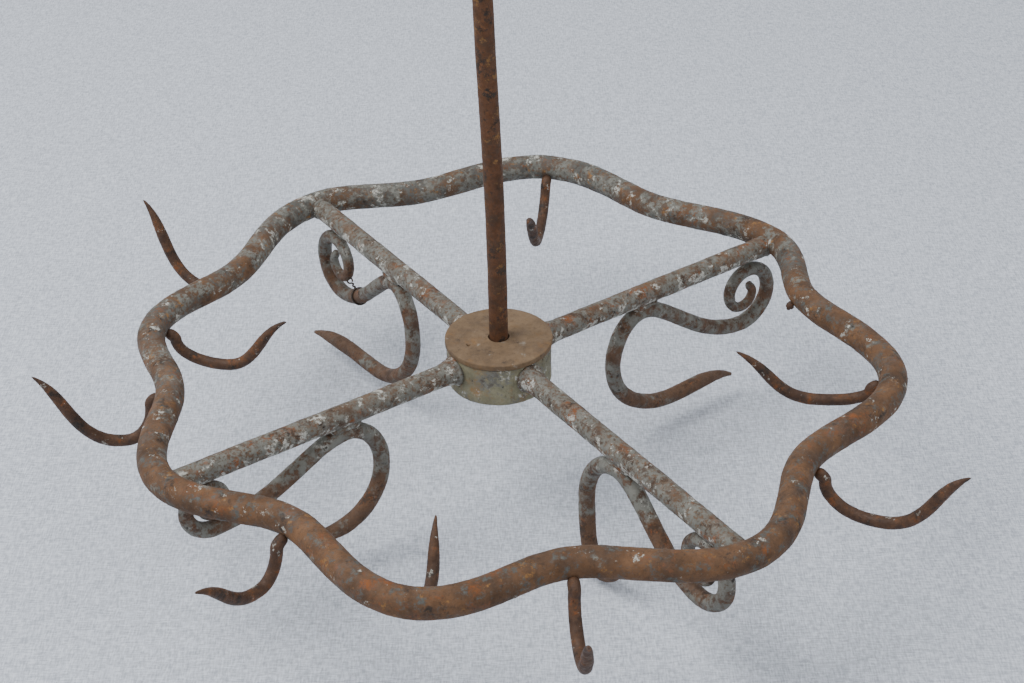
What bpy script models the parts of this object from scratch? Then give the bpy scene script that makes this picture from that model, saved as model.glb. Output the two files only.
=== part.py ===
"""Hanging hook rack: a lobed iron ring on four spokes, turning on a hoist rod.

The frame is in metres with +Z up. The origin is the rope seat, the lowest point of the
sheave's groove, straight above the rod and the hub. The rod hangs from a stirrup round the
sheave. The hub, the spokes, the ring and all the hooks turn together on the rod's foot.
"""
import math
from collections import namedtuple

import bmesh
import bpy
from mathutils import Matrix, Vector

# Bar stock, given as radii.
RING_BAR = 0.0100
SPOKE_BAR = 0.0080
ROD_BAR = 0.0067
SCROLL_BAR = 0.0060
HOOK_BAR = 0.0042
WIRE_BAR = 0.0007

# Clearances: between pieces that seat on each other, and between pieces that turn.
GAP = 0.0003
RUNNING_GAP = 0.0005

# Heights along the rod.
ROD_DROP = 0.600
ROD_BOW = 0.0060
ROD_STATIONS = 16

# Hub: a drum closed by a plate. The spokes lie PLATE_RISE below the plate's top.
PLATE_RADIUS = 0.0380
PLATE_THICK = 0.0045
PLATE_RISE = 0.0131
SPIGOT_DEPTH = 0.0015
DRUM_RADIUS = 0.0370
DRUM_WALL = 0.0060
DRUM_HEIGHT = 0.0290
RIM_ROUND = 0.0012
OIL_HOLE = 0.0016
OIL_HOLE_BEARING = 203.0
OIL_HOLE_REACH = 0.0225

# Rod's foot, inside the drum.
FOOT_RADIUS = 0.0120
FOOT_HEIGHT = 0.0085
WASHER_RADIUS = 0.0150
WASHER_THICK = 0.0025

# Spoke's hub end: a shoulder outside the drum, a tenon through it, a riveted head inside.
SHOULDER_RADIUS = 0.0100
SHOULDER_FACE = 0.0077
SHOULDER_LENGTH = 0.0130
TENON_RADIUS = 0.0040
TENON_HEAD_RADIUS = 0.0056
TENON_HEAD_HEIGHT = 0.0030

# Ring: a closed wave about RING_RADIUS, hand forged, so each lobe has its own place.
RING_RADIUS = 0.2520
Lobe = namedtuple("Lobe", "bearing out")
LOBES = (
    Lobe(82.0, 0.030), Lobe(106.0, -0.004), Lobe(123.5, 0.014), Lobe(150.5, -0.022),
    Lobe(170.5, 0.001), Lobe(190.0, -0.022), Lobe(213.0, 0.008), Lobe(234.5, -0.024),
    Lobe(259.0, 0.018), Lobe(280.0, -0.017), Lobe(304.5, 0.021), Lobe(326.5, -0.014),
    Lobe(351.0, 0.022), Lobe(16.5, -0.017), Lobe(35.5, 0.009), Lobe(57.5, -0.009),
)
STATIONS_PER_LOBE = 7

# Ring hooks. Each laps the ring's flank at a lobe, dips and rises to a flared point.
# out is 1 for a hook outside the ring and -1 for one inside. The other sizes are measured
# from the ring bar's centre: throat and drop place the lowest point, reach and rise the tip.
# flare is the tip's slope and sag keeps the hook's belly low. skew and lean are how far the
# root and the tip stand sideways of the hook's upright plane.
Hook = namedtuple("Hook", "name lobe out throat drop reach rise flare sag skew lean")
HOOKS = (
    Hook("outer_hook_1", 3, 1, 0.028, 0.020, 0.081, 0.044, 43.0, 0.75, 0.000, 0.000),
    Hook("outer_hook_2", 5, 1, 0.034, 0.038, 0.090, 0.023, 41.0, 0.63, 0.000, 0.000),
    Hook("outer_hook_3", 7, 1, 0.031, 0.034, 0.083, 0.000, 23.0, 0.50, 0.005, 0.000),
    Hook("outer_hook_4", 9, 1, 0.042, 0.037, 0.085, 0.009, 35.0, 0.60, 0.001, -0.006),
    Hook("outer_hook_5", 11, 1, 0.041, 0.030, 0.108, 0.028, 38.0, 0.70, -0.003, 0.000),
    Hook("inner_hook_1", 0, -1, 0.052, 0.038, 0.105, 0.004, 0.0, 0.55, -0.003, 0.002),
    Hook("inner_hook_2", 4, -1, 0.050, 0.029, 0.099, 0.012, 25.0, 0.50, 0.000, 0.000),
    Hook("inner_hook_3", 8, -1, 0.045, 0.028, 0.082, 0.001, 28.0, 0.50, 0.001, -0.004),
    Hook("inner_hook_4", 12, -1, 0.051, 0.021, 0.108, 0.014, 25.0, 0.53, 0.000, 0.000),
)
HOOK_LAP = -0.0005
SKEW_STAND = 0.17
HOOK_TIP = 0.0010

# Spokes. Each leaves the hub at SPOKE_LEVEL below the ring's plane and sinks by its own
# droop on its way to the ring.
Spoke = namedtuple("Spoke", "name lobe droop")
SPOKE_LEVEL = -0.0010
SPOKES = (
    Spoke("back_right", 14, 0.0014), Spoke("back_left", 2, -0.0005),
    Spoke("front_left", 6, 0.0060), Spoke("front_right", 10, 0.0085),
)

# Scroll hooks, one under each spoke. Places are measured from the coil's centre, which is
# inset from the ring: crest and back along the spoke, then the lowest point and the tip.
# coil_drop is how far a coil's centre lies below where its bar would touch the spoke.
Scroll = namedtuple(
    "Scroll", "spoke inset crest back throat drop tip tip_drop flare lean coil_drop coil_radius")
SCROLLS = (
    Scroll(0, 0.026, -0.104, -0.131, -0.071, 0.1060, -0.008, 0.112, -30.0, 0.0, 0.0217, 0.0275),
    Scroll(1, 0.032, -0.090, -0.1145, -0.059, 0.1080, 0.026, 0.114, -20.0, 0.015, 0.0234, 0.0275),
    Scroll(2, 0.031, -0.104, -0.130, -0.087, 0.0980, -0.070, 0.080, 70.0, 0.0, 0.0142, 0.0200),
    Scroll(3, 0.047, -0.086, -0.122, -0.110, 0.1225, -0.071, 0.088, 40.0, 0.0, 0.0200, 0.0270),
)
COIL_INNER = 0.17
COIL_SWEEP = 520.0
COIL_BAR_END = 0.0032
SCROLL_TIP = 0.0014

# Wire tie round the arm of one scroll hook.
TIE_HOOK = 1
TIE_PLACE = -0.032
TIE_TAIL = 0.006
TIE_EYE = 0.0024

# Pulley block: sheave, axle and stirrup.
GROOVE_RADIUS = 0.032
ROPE_RADIUS = 0.006
FLANGE_RISE = 0.009
RIM_HALF_WIDTH = 0.0100
RIM_LAND = 0.0020
SHEAVE_HALF_WIDTH = 0.0120
WEB_HALF_WIDTH = 0.0045
BOSS_RADIUS = 0.0140
AXLE_RADIUS = 0.0060
AXLE_HEAD_RADIUS = 0.0100
AXLE_HEAD_THICK = 0.0040
AXLE_END = 0.0090
SIDE_WASHER_THICK = 0.0018
SIDE_WASHER_RADIUS = 0.0120
STRAP_WIDTH = 0.0260
STRAP_THICK = 0.0060
CROWN_CLEAR = 0.0300
ROD_TENON = 0.0050
RIVET_RADIUS = 0.0090
RIVET_HEIGHT = 0.0060
COTTER_BAR = 0.0011
COTTER_EYE = 0.0030
COTTER_HEAD = 0.0045
COTTER_FOOT = 0.0040
COTTER_BEND = 0.0050
COTTER_INSET = 0.0010

# Levels worked out from the sizes above.
CROWN_UNDER = -CROWN_CLEAR - STRAP_THICK
PLATE_TOP = CROWN_UNDER - ROD_DROP
RING_LEVEL = PLATE_TOP - PLATE_RISE
PLATE_UNDER = PLATE_RISE - PLATE_THICK
DRUM_TOP = PLATE_UNDER - GAP
DRUM_BORE = DRUM_RADIUS - DRUM_WALL
WASHER_TOP = PLATE_UNDER - SPIGOT_DEPTH - GAP
FOOT_TOP = WASHER_TOP - WASHER_THICK - GAP
ARM_INNER = SHEAVE_HALF_WIDTH + SIDE_WASHER_THICK + 2.0 * GAP
ARM_OUTER = ARM_INNER + STRAP_THICK

FINE_SIDES = 32
ROUND_SIDES = 20
BAR_SIDES = 10
HOOK_SIDES = 8
WIRE_SIDES = 6
COIL_STEPS = 24
ELLIPSE = 0.5523

Finish = namedtuple("Finish", "colour roughness metallic")
FINISHES = {
    "rusted_ring": Finish((0.21, 0.125, 0.075, 1.0), 0.85, 0.30),
    "galvanised_spoke": Finish((0.30, 0.24, 0.19, 1.0), 0.75, 0.45),
    "hub_drum": Finish((0.26, 0.23, 0.17, 1.0), 0.80, 0.35),
    "hub_plate": Finish((0.36, 0.25, 0.18, 1.0), 0.80, 0.30),
    "rod_rust": Finish((0.20, 0.095, 0.045, 1.0), 0.85, 0.25),
    "hook_iron": Finish((0.13, 0.075, 0.050, 1.0), 0.75, 0.35),
    "scroll_iron": Finish((0.25, 0.20, 0.16, 1.0), 0.75, 0.45),
    "tie_wire": Finish((0.10, 0.080, 0.060, 1.0), 0.60, 0.70),
    "block_iron": Finish((0.17, 0.105, 0.065, 1.0), 0.80, 0.35),
    "worn_steel": Finish((0.33, 0.30, 0.27, 1.0), 0.50, 0.85),
}


def clear_scene():
    """Remove whatever the open file holds."""
    for item in list(bpy.data.objects):
        bpy.data.objects.remove(item, do_unlink=True)


def finish_material(name):
    """One Principled material for each finish."""
    material = bpy.data.materials.get(name)
    if material is None:
        finish = FINISHES[name]
        material = bpy.data.materials.new(name)
        material.use_nodes = True
        shader = material.node_tree.nodes["Principled BSDF"]
        shader.inputs["Base Color"].default_value = finish.colour
        shader.inputs["Roughness"].default_value = finish.roughness
        shader.inputs["Metallic"].default_value = finish.metallic
    return material


def add_pivot(name, place):
    """An empty that carries the pieces of one body, on its joint's axis."""
    pivot = bpy.data.objects.new(name, None)
    pivot.location = place
    bpy.context.collection.objects.link(pivot)
    return pivot


def add_object(name, shape, pivot, finish=None):
    """Turn a bmesh into an object under a pivot, shaded smooth with sharp edges."""
    bmesh.ops.recalc_face_normals(shape, faces=shape.faces[:])
    mesh = bpy.data.meshes.new(name)
    shape.to_mesh(mesh)
    shape.free()
    mesh.shade_smooth()
    mesh.set_sharp_from_angle(angle=math.radians(40.0))
    item = bpy.data.objects.new(name, mesh)
    item.parent = pivot
    bpy.context.collection.objects.link(item)
    if finish is not None:
        mesh.materials.append(finish_material(finish))
    return item


def cut_away(item, cutter):
    """Subtract a hidden guide solid from a piece."""
    cutter.hide_render = True
    cutter.display_type = "WIRE"
    modifier = item.modifiers.new("cut_" + cutter.name, "BOOLEAN")
    modifier.operation = "DIFFERENCE"
    modifier.solver = "EXACT"
    modifier.object = cutter


def bezier(start, first, second, end, steps):
    """Points of a cubic curve after its start point."""
    points = []
    for index in range(1, steps + 1):
        t = index / steps
        s = 1.0 - t
        points.append(start * s**3 + first * (3 * s * s * t) + second * (3 * s * t * t) + end * t**3)
    return points


def bridge(shape, lower, upper):
    """Close the band between two rings of vertices; a ring of one vertex is a pole."""
    count = max(len(lower), len(upper))
    for index in range(count):
        after = (index + 1) % count
        corners = [lower[index % len(lower)], lower[after % len(lower)],
                   upper[after % len(upper)], upper[index % len(upper)]]
        unique = list(dict.fromkeys(corners))
        if len(unique) > 2:
            shape.faces.new(unique)


def swept_bar(path, radii, sides, across, closed=False):
    """Bar along a path. across is a direction that the path never runs along."""
    shape = bmesh.new()
    rings = []
    last = len(path) - 1
    for index, point in enumerate(path):
        before = path[index - 1] if index > 0 or closed else path[0]
        after = path[(index + 1) % len(path)] if index < last or closed else path[last]
        along = (after - before).normalized()
        side = (across - along * across.dot(along)).normalized()
        rise = along.cross(side)
        ring = []
        for corner in range(sides):
            angle = 2.0 * math.pi * (corner + 0.5) / sides
            offset = side * math.cos(angle) + rise * math.sin(angle)
            ring.append(shape.verts.new(point + offset * radii[index]))
        rings.append(ring)
    for lower, upper in zip(rings, rings[1:]):
        bridge(shape, lower, upper)
    if closed:
        bridge(shape, rings[-1], rings[0])
    else:
        shape.faces.new(rings[0])
        shape.faces.new(rings[-1])
    return shape


def turned(profile, sides, closed=False):
    """Solid of revolution about Z. Each profile point is (radius, height); a radius of zero
    is a pole. A closed profile is the section of a ring with a bore."""
    shape = bmesh.new()
    rings = []
    for radius, height in profile:
        if radius == 0.0:
            rings.append([shape.verts.new((0.0, 0.0, height))])
            continue
        ring = []
        for corner in range(sides):
            angle = 2.0 * math.pi * corner / sides
            ring.append(shape.verts.new((radius * math.cos(angle), radius * math.sin(angle), height)))
        rings.append(ring)
    for lower, upper in zip(rings, rings[1:]):
        bridge(shape, lower, upper)
    if closed:
        bridge(shape, rings[-1], rings[0])
    return shape


def rounded(radius, low, high, bead, inner):
    """Closed section of a disc with a bore: outer edge with beaded corners."""
    return [
        (inner, low), (radius - bead, low), (radius - 0.3 * bead, low + 0.3 * bead),
        (radius, low + bead), (radius, high - bead), (radius - 0.3 * bead, high - 0.3 * bead),
        (radius - bead, high), (inner, high),
    ]


def compass(bearing):
    """Unit vector of a bearing in the ring's plane, counted anticlockwise from +X."""
    angle = math.radians(bearing)
    return Vector((math.cos(angle), math.sin(angle), 0.0))


def lobe_reach(index):
    """Distance from the rod to the ring bar's centre at a lobe."""
    return RING_RADIUS + LOBES[index].out


def ring_path():
    """Ring bar's centre: bearing changes evenly between lobes, reach as half a cosine."""
    path = []
    for index, lobe in enumerate(LOBES):
        following = LOBES[(index + 1) % len(LOBES)]
        turn = (following.bearing - lobe.bearing) % 360.0
        for station in range(STATIONS_PER_LOBE):
            share = station / STATIONS_PER_LOBE
            ease = 0.5 - 0.5 * math.cos(math.pi * share)
            reach = RING_RADIUS + lobe.out + (following.out - lobe.out) * ease
            path.append(compass(lobe.bearing + turn * share) * reach)
    return path


def make_ring(pivot):
    """The lobed ring, one closed bar."""
    path = ring_path()
    shape = swept_bar(path, [RING_BAR] * len(path), BAR_SIDES, Vector((0, 0, 1)), closed=True)
    return add_object("ring", shape, pivot, "rusted_ring")


def ring_guide(pivot):
    """Ring with its clearance, for coping the spokes' ends."""
    path = ring_path()
    radii = [RING_BAR + GAP] * len(path)
    shape = swept_bar(path, radii, BAR_SIDES, Vector((0, 0, 1)), closed=True)
    return add_object("guide_ring", shape, pivot)


def tenon_head_seat():
    """Where the flat of a tenon's head meets the drum's curved bore."""
    bore = DRUM_BORE * math.cos(math.pi / FINE_SIDES)
    return math.sqrt(bore**2 - TENON_HEAD_RADIUS**2) - GAP


def spoke_slope(spoke):
    """How much a spoke sinks for each metre outwards."""
    return spoke.droop / lobe_reach(spoke.lobe)


def spoke_height(spoke, reach):
    """Height of a spoke's centre at a distance from the rod."""
    return SPOKE_LEVEL - spoke_slope(spoke) * reach


def along_spoke(spoke):
    """Turn from the lathe's upright axis to a spoke's bearing and slope."""
    bearing = Matrix.Rotation(math.radians(LOBES[spoke.lobe].bearing), 4, "Z")
    tilt = Matrix.Rotation(math.radians(90.0) + math.atan(spoke_slope(spoke)), 4, "Y")
    return Matrix.Translation((0.0, 0.0, SPOKE_LEVEL)) @ bearing @ tilt


def make_spoke(pivot, spoke, guide):
    """Spoke with its riveted tenon and shoulder at the hub, coped to the ring outside."""
    seat = tenon_head_seat()
    shoulder = DRUM_RADIUS + GAP
    reach = lobe_reach(spoke.lobe)
    profile = [
        (0.0, seat - TENON_HEAD_HEIGHT), (0.6 * TENON_HEAD_RADIUS, seat - 0.85 * TENON_HEAD_HEIGHT),
        (TENON_HEAD_RADIUS, seat - 0.4 * TENON_HEAD_HEIGHT), (TENON_HEAD_RADIUS, seat),
        (TENON_RADIUS, seat), (TENON_RADIUS, shoulder), (SHOULDER_FACE, shoulder),
        (SHOULDER_RADIUS, shoulder + 0.12 * SHOULDER_LENGTH),
        (SHOULDER_RADIUS, shoulder + 0.4 * SHOULDER_LENGTH), (SPOKE_BAR, shoulder + SHOULDER_LENGTH),
        (SPOKE_BAR, reach), (0.0, reach),
    ]
    item = add_object("spoke_" + spoke.name, turned(profile, ROUND_SIDES - 4), pivot, "galvanised_spoke")
    item.data.transform(along_spoke(spoke))
    cut_away(item, guide)
    return item


def make_drum(pivot):
    """Hub drum, open below, with a hole for each spoke's tenon."""
    low = DRUM_TOP - DRUM_HEIGHT
    profile = rounded(DRUM_RADIUS, low, DRUM_TOP, RIM_ROUND, DRUM_BORE)
    drum = add_object("hub_drum", turned(profile, FINE_SIDES, closed=True), pivot, "hub_drum")
    near = 0.5 * DRUM_BORE
    far = DRUM_RADIUS + SHOULDER_LENGTH
    bore = TENON_RADIUS + GAP
    for spoke in SPOKES:
        hole = [(0.0, near), (bore, near), (bore, far), (0.0, far)]
        cutter = add_object("guide_tenon_" + spoke.name, turned(hole, ROUND_SIDES - 4), pivot)
        cutter.data.transform(along_spoke(spoke))
        cut_away(drum, cutter)
    return drum


def make_plate(pivot):
    """Hub plate: a lid with a locating spigot, the rod's hole and an oil hole."""
    bore = ROD_BAR + RUNNING_GAP
    spigot = DRUM_BORE * math.cos(math.pi / FINE_SIDES) - GAP
    profile = [
        (bore, PLATE_UNDER - SPIGOT_DEPTH), (spigot, PLATE_UNDER - SPIGOT_DEPTH), (spigot, PLATE_UNDER),
        (PLATE_RADIUS - RIM_ROUND, PLATE_UNDER), (PLATE_RADIUS, PLATE_UNDER + RIM_ROUND),
        (PLATE_RADIUS, PLATE_RISE - RIM_ROUND), (PLATE_RADIUS - RIM_ROUND, PLATE_RISE), (bore, PLATE_RISE),
    ]
    plate = add_object("hub_plate", turned(profile, FINE_SIDES, closed=True), pivot, "hub_plate")
    hole = [(0.0, -PLATE_RISE), (OIL_HOLE, -PLATE_RISE)]
    hole += [(OIL_HOLE, 2.0 * PLATE_RISE), (0.0, 2.0 * PLATE_RISE)]
    cutter = add_object("guide_oil_hole", turned(hole, HOOK_SIDES), pivot)
    cutter.data.transform(Matrix.Translation(compass(OIL_HOLE_BEARING) * OIL_HOLE_REACH))
    cut_away(plate, cutter)
    return plate


def hook_outline(hook):
    """Flat outline of a ring hook: distance from the ring bar's centre, and height."""
    lap = RING_BAR + HOOK_BAR + GAP + SKEW_STAND * abs(hook.skew)
    top = Vector((lap, HOOK_LAP))
    turn = Vector((lap, HOOK_LAP - HOOK_BAR))
    low = Vector((hook.throat, -hook.drop))
    tip = Vector((hook.reach, hook.rise))
    fall = turn.y - low.y
    span = tip.x - low.x
    flare = math.radians(hook.flare)
    points = [top, turn]
    points += bezier(turn, turn - Vector((0, ELLIPSE * fall)), low - Vector((ELLIPSE * (low.x - turn.x), 0)),
                     low, 7)
    points += bezier(low, low + Vector((hook.sag * span, 0)),
                     tip - Vector((math.cos(flare), math.sin(flare))) * 0.5 * span, tip, 10)
    return points


def tapered(count, full, end, share):
    """Radii along a bar that keeps its size and tapers over its last share."""
    radii = []
    for index in range(count):
        left = (count - 1 - index) / (count - 1) / share
        radii.append(full if left >= 1.0 else end + (full - end) * math.sin(0.5 * math.pi * left))
    return radii


def stand_up(outline, bearing, base, out, skew, lean):
    """Place a flat outline in the upright plane of a bearing, its first point skewed
    sideways and its last point leaning."""
    forward = compass(bearing)
    sideways = Vector((-forward.y, forward.x, 0.0))
    path = []
    for index, point in enumerate(outline):
        share = index / (len(outline) - 1)
        aside = skew * (1.0 - share) ** 2 + lean * share**2
        path.append(forward * (base + out * point.x) + sideways * aside + Vector((0.0, 0.0, point.y)))
    return path


def make_ring_hook(pivot, hook):
    """One pointed hook, lapped on the ring's flank."""
    outline = hook_outline(hook)
    bearing = LOBES[hook.lobe].bearing
    path = stand_up(outline, bearing, lobe_reach(hook.lobe), hook.out, hook.skew, hook.lean)
    across = Vector((-compass(bearing).y, compass(bearing).x, 0.0))
    radii = tapered(len(path), HOOK_BAR, HOOK_TIP, 0.35)
    return add_object(hook.name, swept_bar(path, radii, HOOK_SIDES, across), pivot, "hook_iron")


def coil_level(scroll):
    """Height of a coil's centre, set from its spoke's underside."""
    spoke = spoke_height(SPOKES[scroll.spoke], scroll_base(scroll))
    return spoke - SPOKE_BAR - SCROLL_BAR - scroll.coil_drop


def coil_points(scroll):
    """Coil from its lowest outer point inwards, about its centre."""
    points = []
    level = coil_level(scroll)
    for index in range(1, COIL_STEPS + 1):
        share = index / COIL_STEPS
        angle = math.radians(-90.0 + COIL_SWEEP * share)
        radius = scroll.coil_radius * (1.0 + (COIL_INNER - 1.0) * share)
        points.append(Vector((radius * math.cos(angle), radius * math.sin(angle) + level)))
    return points


def scroll_base(scroll):
    """Distance from the rod to a coil's centre."""
    return lobe_reach(SPOKES[scroll.spoke].lobe) - scroll.inset


def scroll_outline(scroll):
    """Flat outline of a scroll hook in two runs: tip to crest, and crest into the coil."""
    under = spoke_height(SPOKES[scroll.spoke], scroll_base(scroll) + scroll.crest)
    crest = Vector((scroll.crest, under - SPOKE_BAR - SCROLL_BAR - GAP))
    back = Vector((scroll.back, 0.45 * crest.y - 0.45 * scroll.drop))
    low = Vector((scroll.throat, -scroll.drop))
    tip = Vector((scroll.tip, -scroll.tip_drop))
    coil = Vector((0.0, coil_level(scroll) - scroll.coil_radius))
    flare = Vector((math.cos(math.radians(scroll.flare)), math.sin(math.radians(scroll.flare))))
    span = (tip - low).length
    arm = coil.x - crest.x
    lower = bezier(tip, tip - flare * 0.35 * span, low + Vector((0.4 * span, 0)), low, 7)
    lower += bezier(low, low - Vector((ELLIPSE * (low.x - back.x), 0)),
                    back - Vector((0, ELLIPSE * (back.y - low.y))), back, 7)
    lower += bezier(back, back + Vector((0, ELLIPSE * (crest.y - back.y))),
                    crest - Vector((ELLIPSE * (crest.x - back.x), 0)), crest, 5)
    upper = bezier(crest, crest + Vector((0.25 * arm, 0)), coil - Vector((0.45 * arm, 0)), coil, 9)
    return [tip] + lower, upper + coil_points(scroll)


def scroll_path(scroll):
    """Bar's centre of a scroll hook. Only the part below the crest leans."""
    lower, upper = scroll_outline(scroll)
    bearing = LOBES[SPOKES[scroll.spoke].lobe].bearing
    base = scroll_base(scroll)
    below = stand_up(lower[::-1], bearing, base, 1, 0.0, scroll.lean)[::-1]
    return below + stand_up(upper, bearing, base, 1, 0.0, 0.0)


def make_scroll_hook(pivot, scroll):
    """One heavy hook with a scrolled end, under its spoke."""
    spoke = SPOKES[scroll.spoke]
    path = scroll_path(scroll)
    forward = compass(LOBES[spoke.lobe].bearing)
    radii = tapered(len(path), SCROLL_BAR, SCROLL_TIP, 0.16)[::-1]
    for index in range(COIL_STEPS):
        share = (index + 1) / COIL_STEPS
        radii[index - COIL_STEPS] = SCROLL_BAR + (COIL_BAR_END - SCROLL_BAR) * share
    shape = swept_bar(path, radii, HOOK_SIDES, Vector((-forward.y, forward.x, 0.0)))
    return add_object("scroll_hook_" + spoke.name, shape, pivot, "scroll_iron")


def make_wire_tie(pivot):
    """Thin wire once round a scroll hook's arm, with a standing tail and a small eye."""
    scroll = SCROLLS[TIE_HOOK]
    forward = compass(LOBES[SPOKES[scroll.spoke].lobe].bearing)
    place = scroll_base(scroll) + TIE_PLACE
    path = scroll_path(scroll)
    crest = len(scroll_outline(scroll)[0])
    arm = range(crest, len(path) - COIL_STEPS)
    nearest = min(arm, key=lambda index: abs(path[index].dot(forward) - place))
    centre = path[nearest]
    along = (path[nearest + 1] - path[nearest - 1]).normalized()
    side = Vector((-forward.y, forward.x, 0.0))
    rise = side.cross(along) * -1.0
    if rise.z < 0.0:
        rise = -rise
    loop = SCROLL_BAR + WIRE_BAR + GAP
    points = []
    for step in range(15):
        angle = math.radians(115.0 + 335.0 * step / 14)
        points.append(centre + (side * math.cos(angle) + rise * math.sin(angle)) * loop)
    top = points[-1]
    outward = (top - centre).normalized()
    sweep = outward.cross(along)
    points.append(top + outward * 0.5 * TIE_TAIL)
    eye = top + outward * (TIE_TAIL + TIE_EYE)
    for step in range(9):
        angle = math.radians(-90.0 + 300.0 * step / 8)
        points.append(eye + (sweep * math.cos(angle) + outward * math.sin(angle)) * TIE_EYE)
    shape = swept_bar(points, [WIRE_BAR] * len(points), WIRE_SIDES, along)
    return add_object("wire_tie", shape, pivot, "tie_wire")


def make_rack(pivot):
    """Everything that turns on the rod's foot."""
    make_ring(pivot)
    make_drum(pivot)
    make_plate(pivot)
    guide = ring_guide(pivot)
    for spoke in SPOKES:
        make_spoke(pivot, spoke, guide)
    for scroll in SCROLLS:
        make_scroll_hook(pivot, scroll)
    for hook in HOOKS:
        make_ring_hook(pivot, hook)
    make_wire_tie(pivot)


def rod_bow(height):
    """Sideways bow of the rod, none at its two ends."""
    share = (height - PLATE_TOP) / ROD_DROP
    if share <= 0.0 or share >= 1.0:
        return 0.0
    return ROD_BOW * math.sin(math.pi * share) ** 3


def make_rod(pivot):
    """Rod with its upset foot below and its riveted tenon above the stirrup's crown."""
    foot_top = RING_LEVEL + FOOT_TOP
    foot_low = foot_top - FOOT_HEIGHT
    seat = CROWN_UNDER - GAP
    rivet = -CROWN_CLEAR + GAP
    profile = [
        (0.0, foot_low), (0.55 * FOOT_RADIUS, foot_low + 0.12 * FOOT_HEIGHT),
        (0.9 * FOOT_RADIUS, foot_low + 0.4 * FOOT_HEIGHT), (FOOT_RADIUS, foot_low + 0.75 * FOOT_HEIGHT),
        (FOOT_RADIUS, foot_top), (ROD_BAR, foot_top),
    ]
    for station in range(ROD_STATIONS + 1):
        profile.append((ROD_BAR, PLATE_TOP + (seat - PLATE_TOP) * station / ROD_STATIONS))
    profile += [
        (ROD_TENON, seat), (ROD_TENON, rivet), (RIVET_RADIUS, rivet),
        (0.9 * RIVET_RADIUS, rivet + 0.45 * RIVET_HEIGHT), (0.5 * RIVET_RADIUS, rivet + 0.85 * RIVET_HEIGHT),
        (0.0, rivet + RIVET_HEIGHT),
    ]
    shape = turned(profile, ROUND_SIDES - 4)
    for vertex in shape.verts:
        vertex.co.x -= rod_bow(vertex.co.z)
    return add_object("rod", shape, pivot, "rod_rust")


def make_thrust_washer(pivot):
    """Washer between the rod's foot and the hub plate."""
    low = RING_LEVEL + WASHER_TOP - WASHER_THICK
    profile = rounded(WASHER_RADIUS, low, low + WASHER_THICK, 0.3 * WASHER_THICK, ROD_BAR + GAP)
    return add_object("thrust_washer", turned(profile, ROUND_SIDES, closed=True), pivot, "worn_steel")


def strap_shape():
    """Stirrup strap: a U in the YZ plane, bent from flat bar, extruded along X."""
    low = CROWN_UNDER
    high = GROOVE_RADIUS + 0.5 * STRAP_WIDTH
    bend = 0.4 * ARM_OUTER
    half = []
    for step in range(5):
        angle = math.radians(-90.0 + 90.0 * step / 4)
        half.append((ARM_OUTER - bend + bend * math.cos(angle), low + bend + bend * math.sin(angle)))
    half.append((ARM_OUTER, high))
    half.append((ARM_INNER, high))
    inner = bend - STRAP_THICK * 0.9
    for step in range(5):
        angle = math.radians(0.0 - 90.0 * step / 4)
        half.append((ARM_INNER - inner + inner * math.cos(angle),
                     -CROWN_CLEAR + inner + inner * math.sin(angle)))
    outer = half[:6]
    inside = half[6:]
    loop = outer + inside + [(-y, z) for y, z in inside[::-1]] + [(-y, z) for y, z in outer[::-1]]
    shape = bmesh.new()
    face = shape.faces.new([shape.verts.new((-0.5 * STRAP_WIDTH, y, z)) for y, z in loop])
    grown = bmesh.ops.extrude_face_region(shape, geom=[face])
    moved = [item for item in grown["geom"] if isinstance(item, bmesh.types.BMVert)]
    bmesh.ops.translate(shape, verts=moved, vec=(STRAP_WIDTH, 0.0, 0.0))
    return shape


def corner_guide():
    """Prism that leaves the arms' ends half round about the axle."""
    half = 0.5 * STRAP_WIDTH
    high = GROOVE_RADIUS + 2.0 * STRAP_WIDTH
    loop = []
    for step in range(13):
        angle = math.radians(180.0 * step / 12)
        loop.append((half * math.cos(angle), GROOVE_RADIUS + half * math.sin(angle)))
    loop += [(-2.0 * half, GROOVE_RADIUS), (-2.0 * half, high)]
    loop += [(2.0 * half, high), (2.0 * half, GROOVE_RADIUS)]
    shape = bmesh.new()
    face = shape.faces.new([shape.verts.new((x, -2.0 * ARM_OUTER, z)) for x, z in loop])
    grown = bmesh.ops.extrude_face_region(shape, geom=[face])
    moved = [item for item in grown["geom"] if isinstance(item, bmesh.types.BMVert)]
    bmesh.ops.translate(shape, verts=moved, vec=(0.0, 4.0 * ARM_OUTER, 0.0))
    return shape


def lay_over():
    """Turn from the lathe's upright axis to the axle's, along Y, at the axle's height."""
    return Matrix.Translation((0.0, 0.0, GROOVE_RADIUS)) @ Matrix.Rotation(math.radians(-90.0), 4, "X")


def make_stirrup(pivot):
    """Stirrup with half-round ends, the axle's holes and the rod's hole."""
    stirrup = add_object("stirrup", strap_shape(), pivot, "block_iron")
    cut_away(stirrup, add_object("guide_corners", corner_guide(), pivot))
    reach = 2.0 * ARM_OUTER
    bore = AXLE_RADIUS + GAP
    hole = [(0.0, -reach), (bore, -reach), (bore, reach), (0.0, reach)]
    axle_hole = add_object("guide_axle_hole", turned(hole, ROUND_SIDES), pivot)
    axle_hole.data.transform(lay_over())
    cut_away(stirrup, axle_hole)
    socket = ROD_TENON + GAP
    low = CROWN_UNDER - STRAP_THICK
    high = -CROWN_CLEAR + STRAP_THICK
    tenon = [(0.0, low), (socket, low), (socket, high), (0.0, high)]
    cut_away(stirrup, add_object("guide_rod_hole", turned(tenon, ROUND_SIDES), pivot))
    return stirrup


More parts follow.
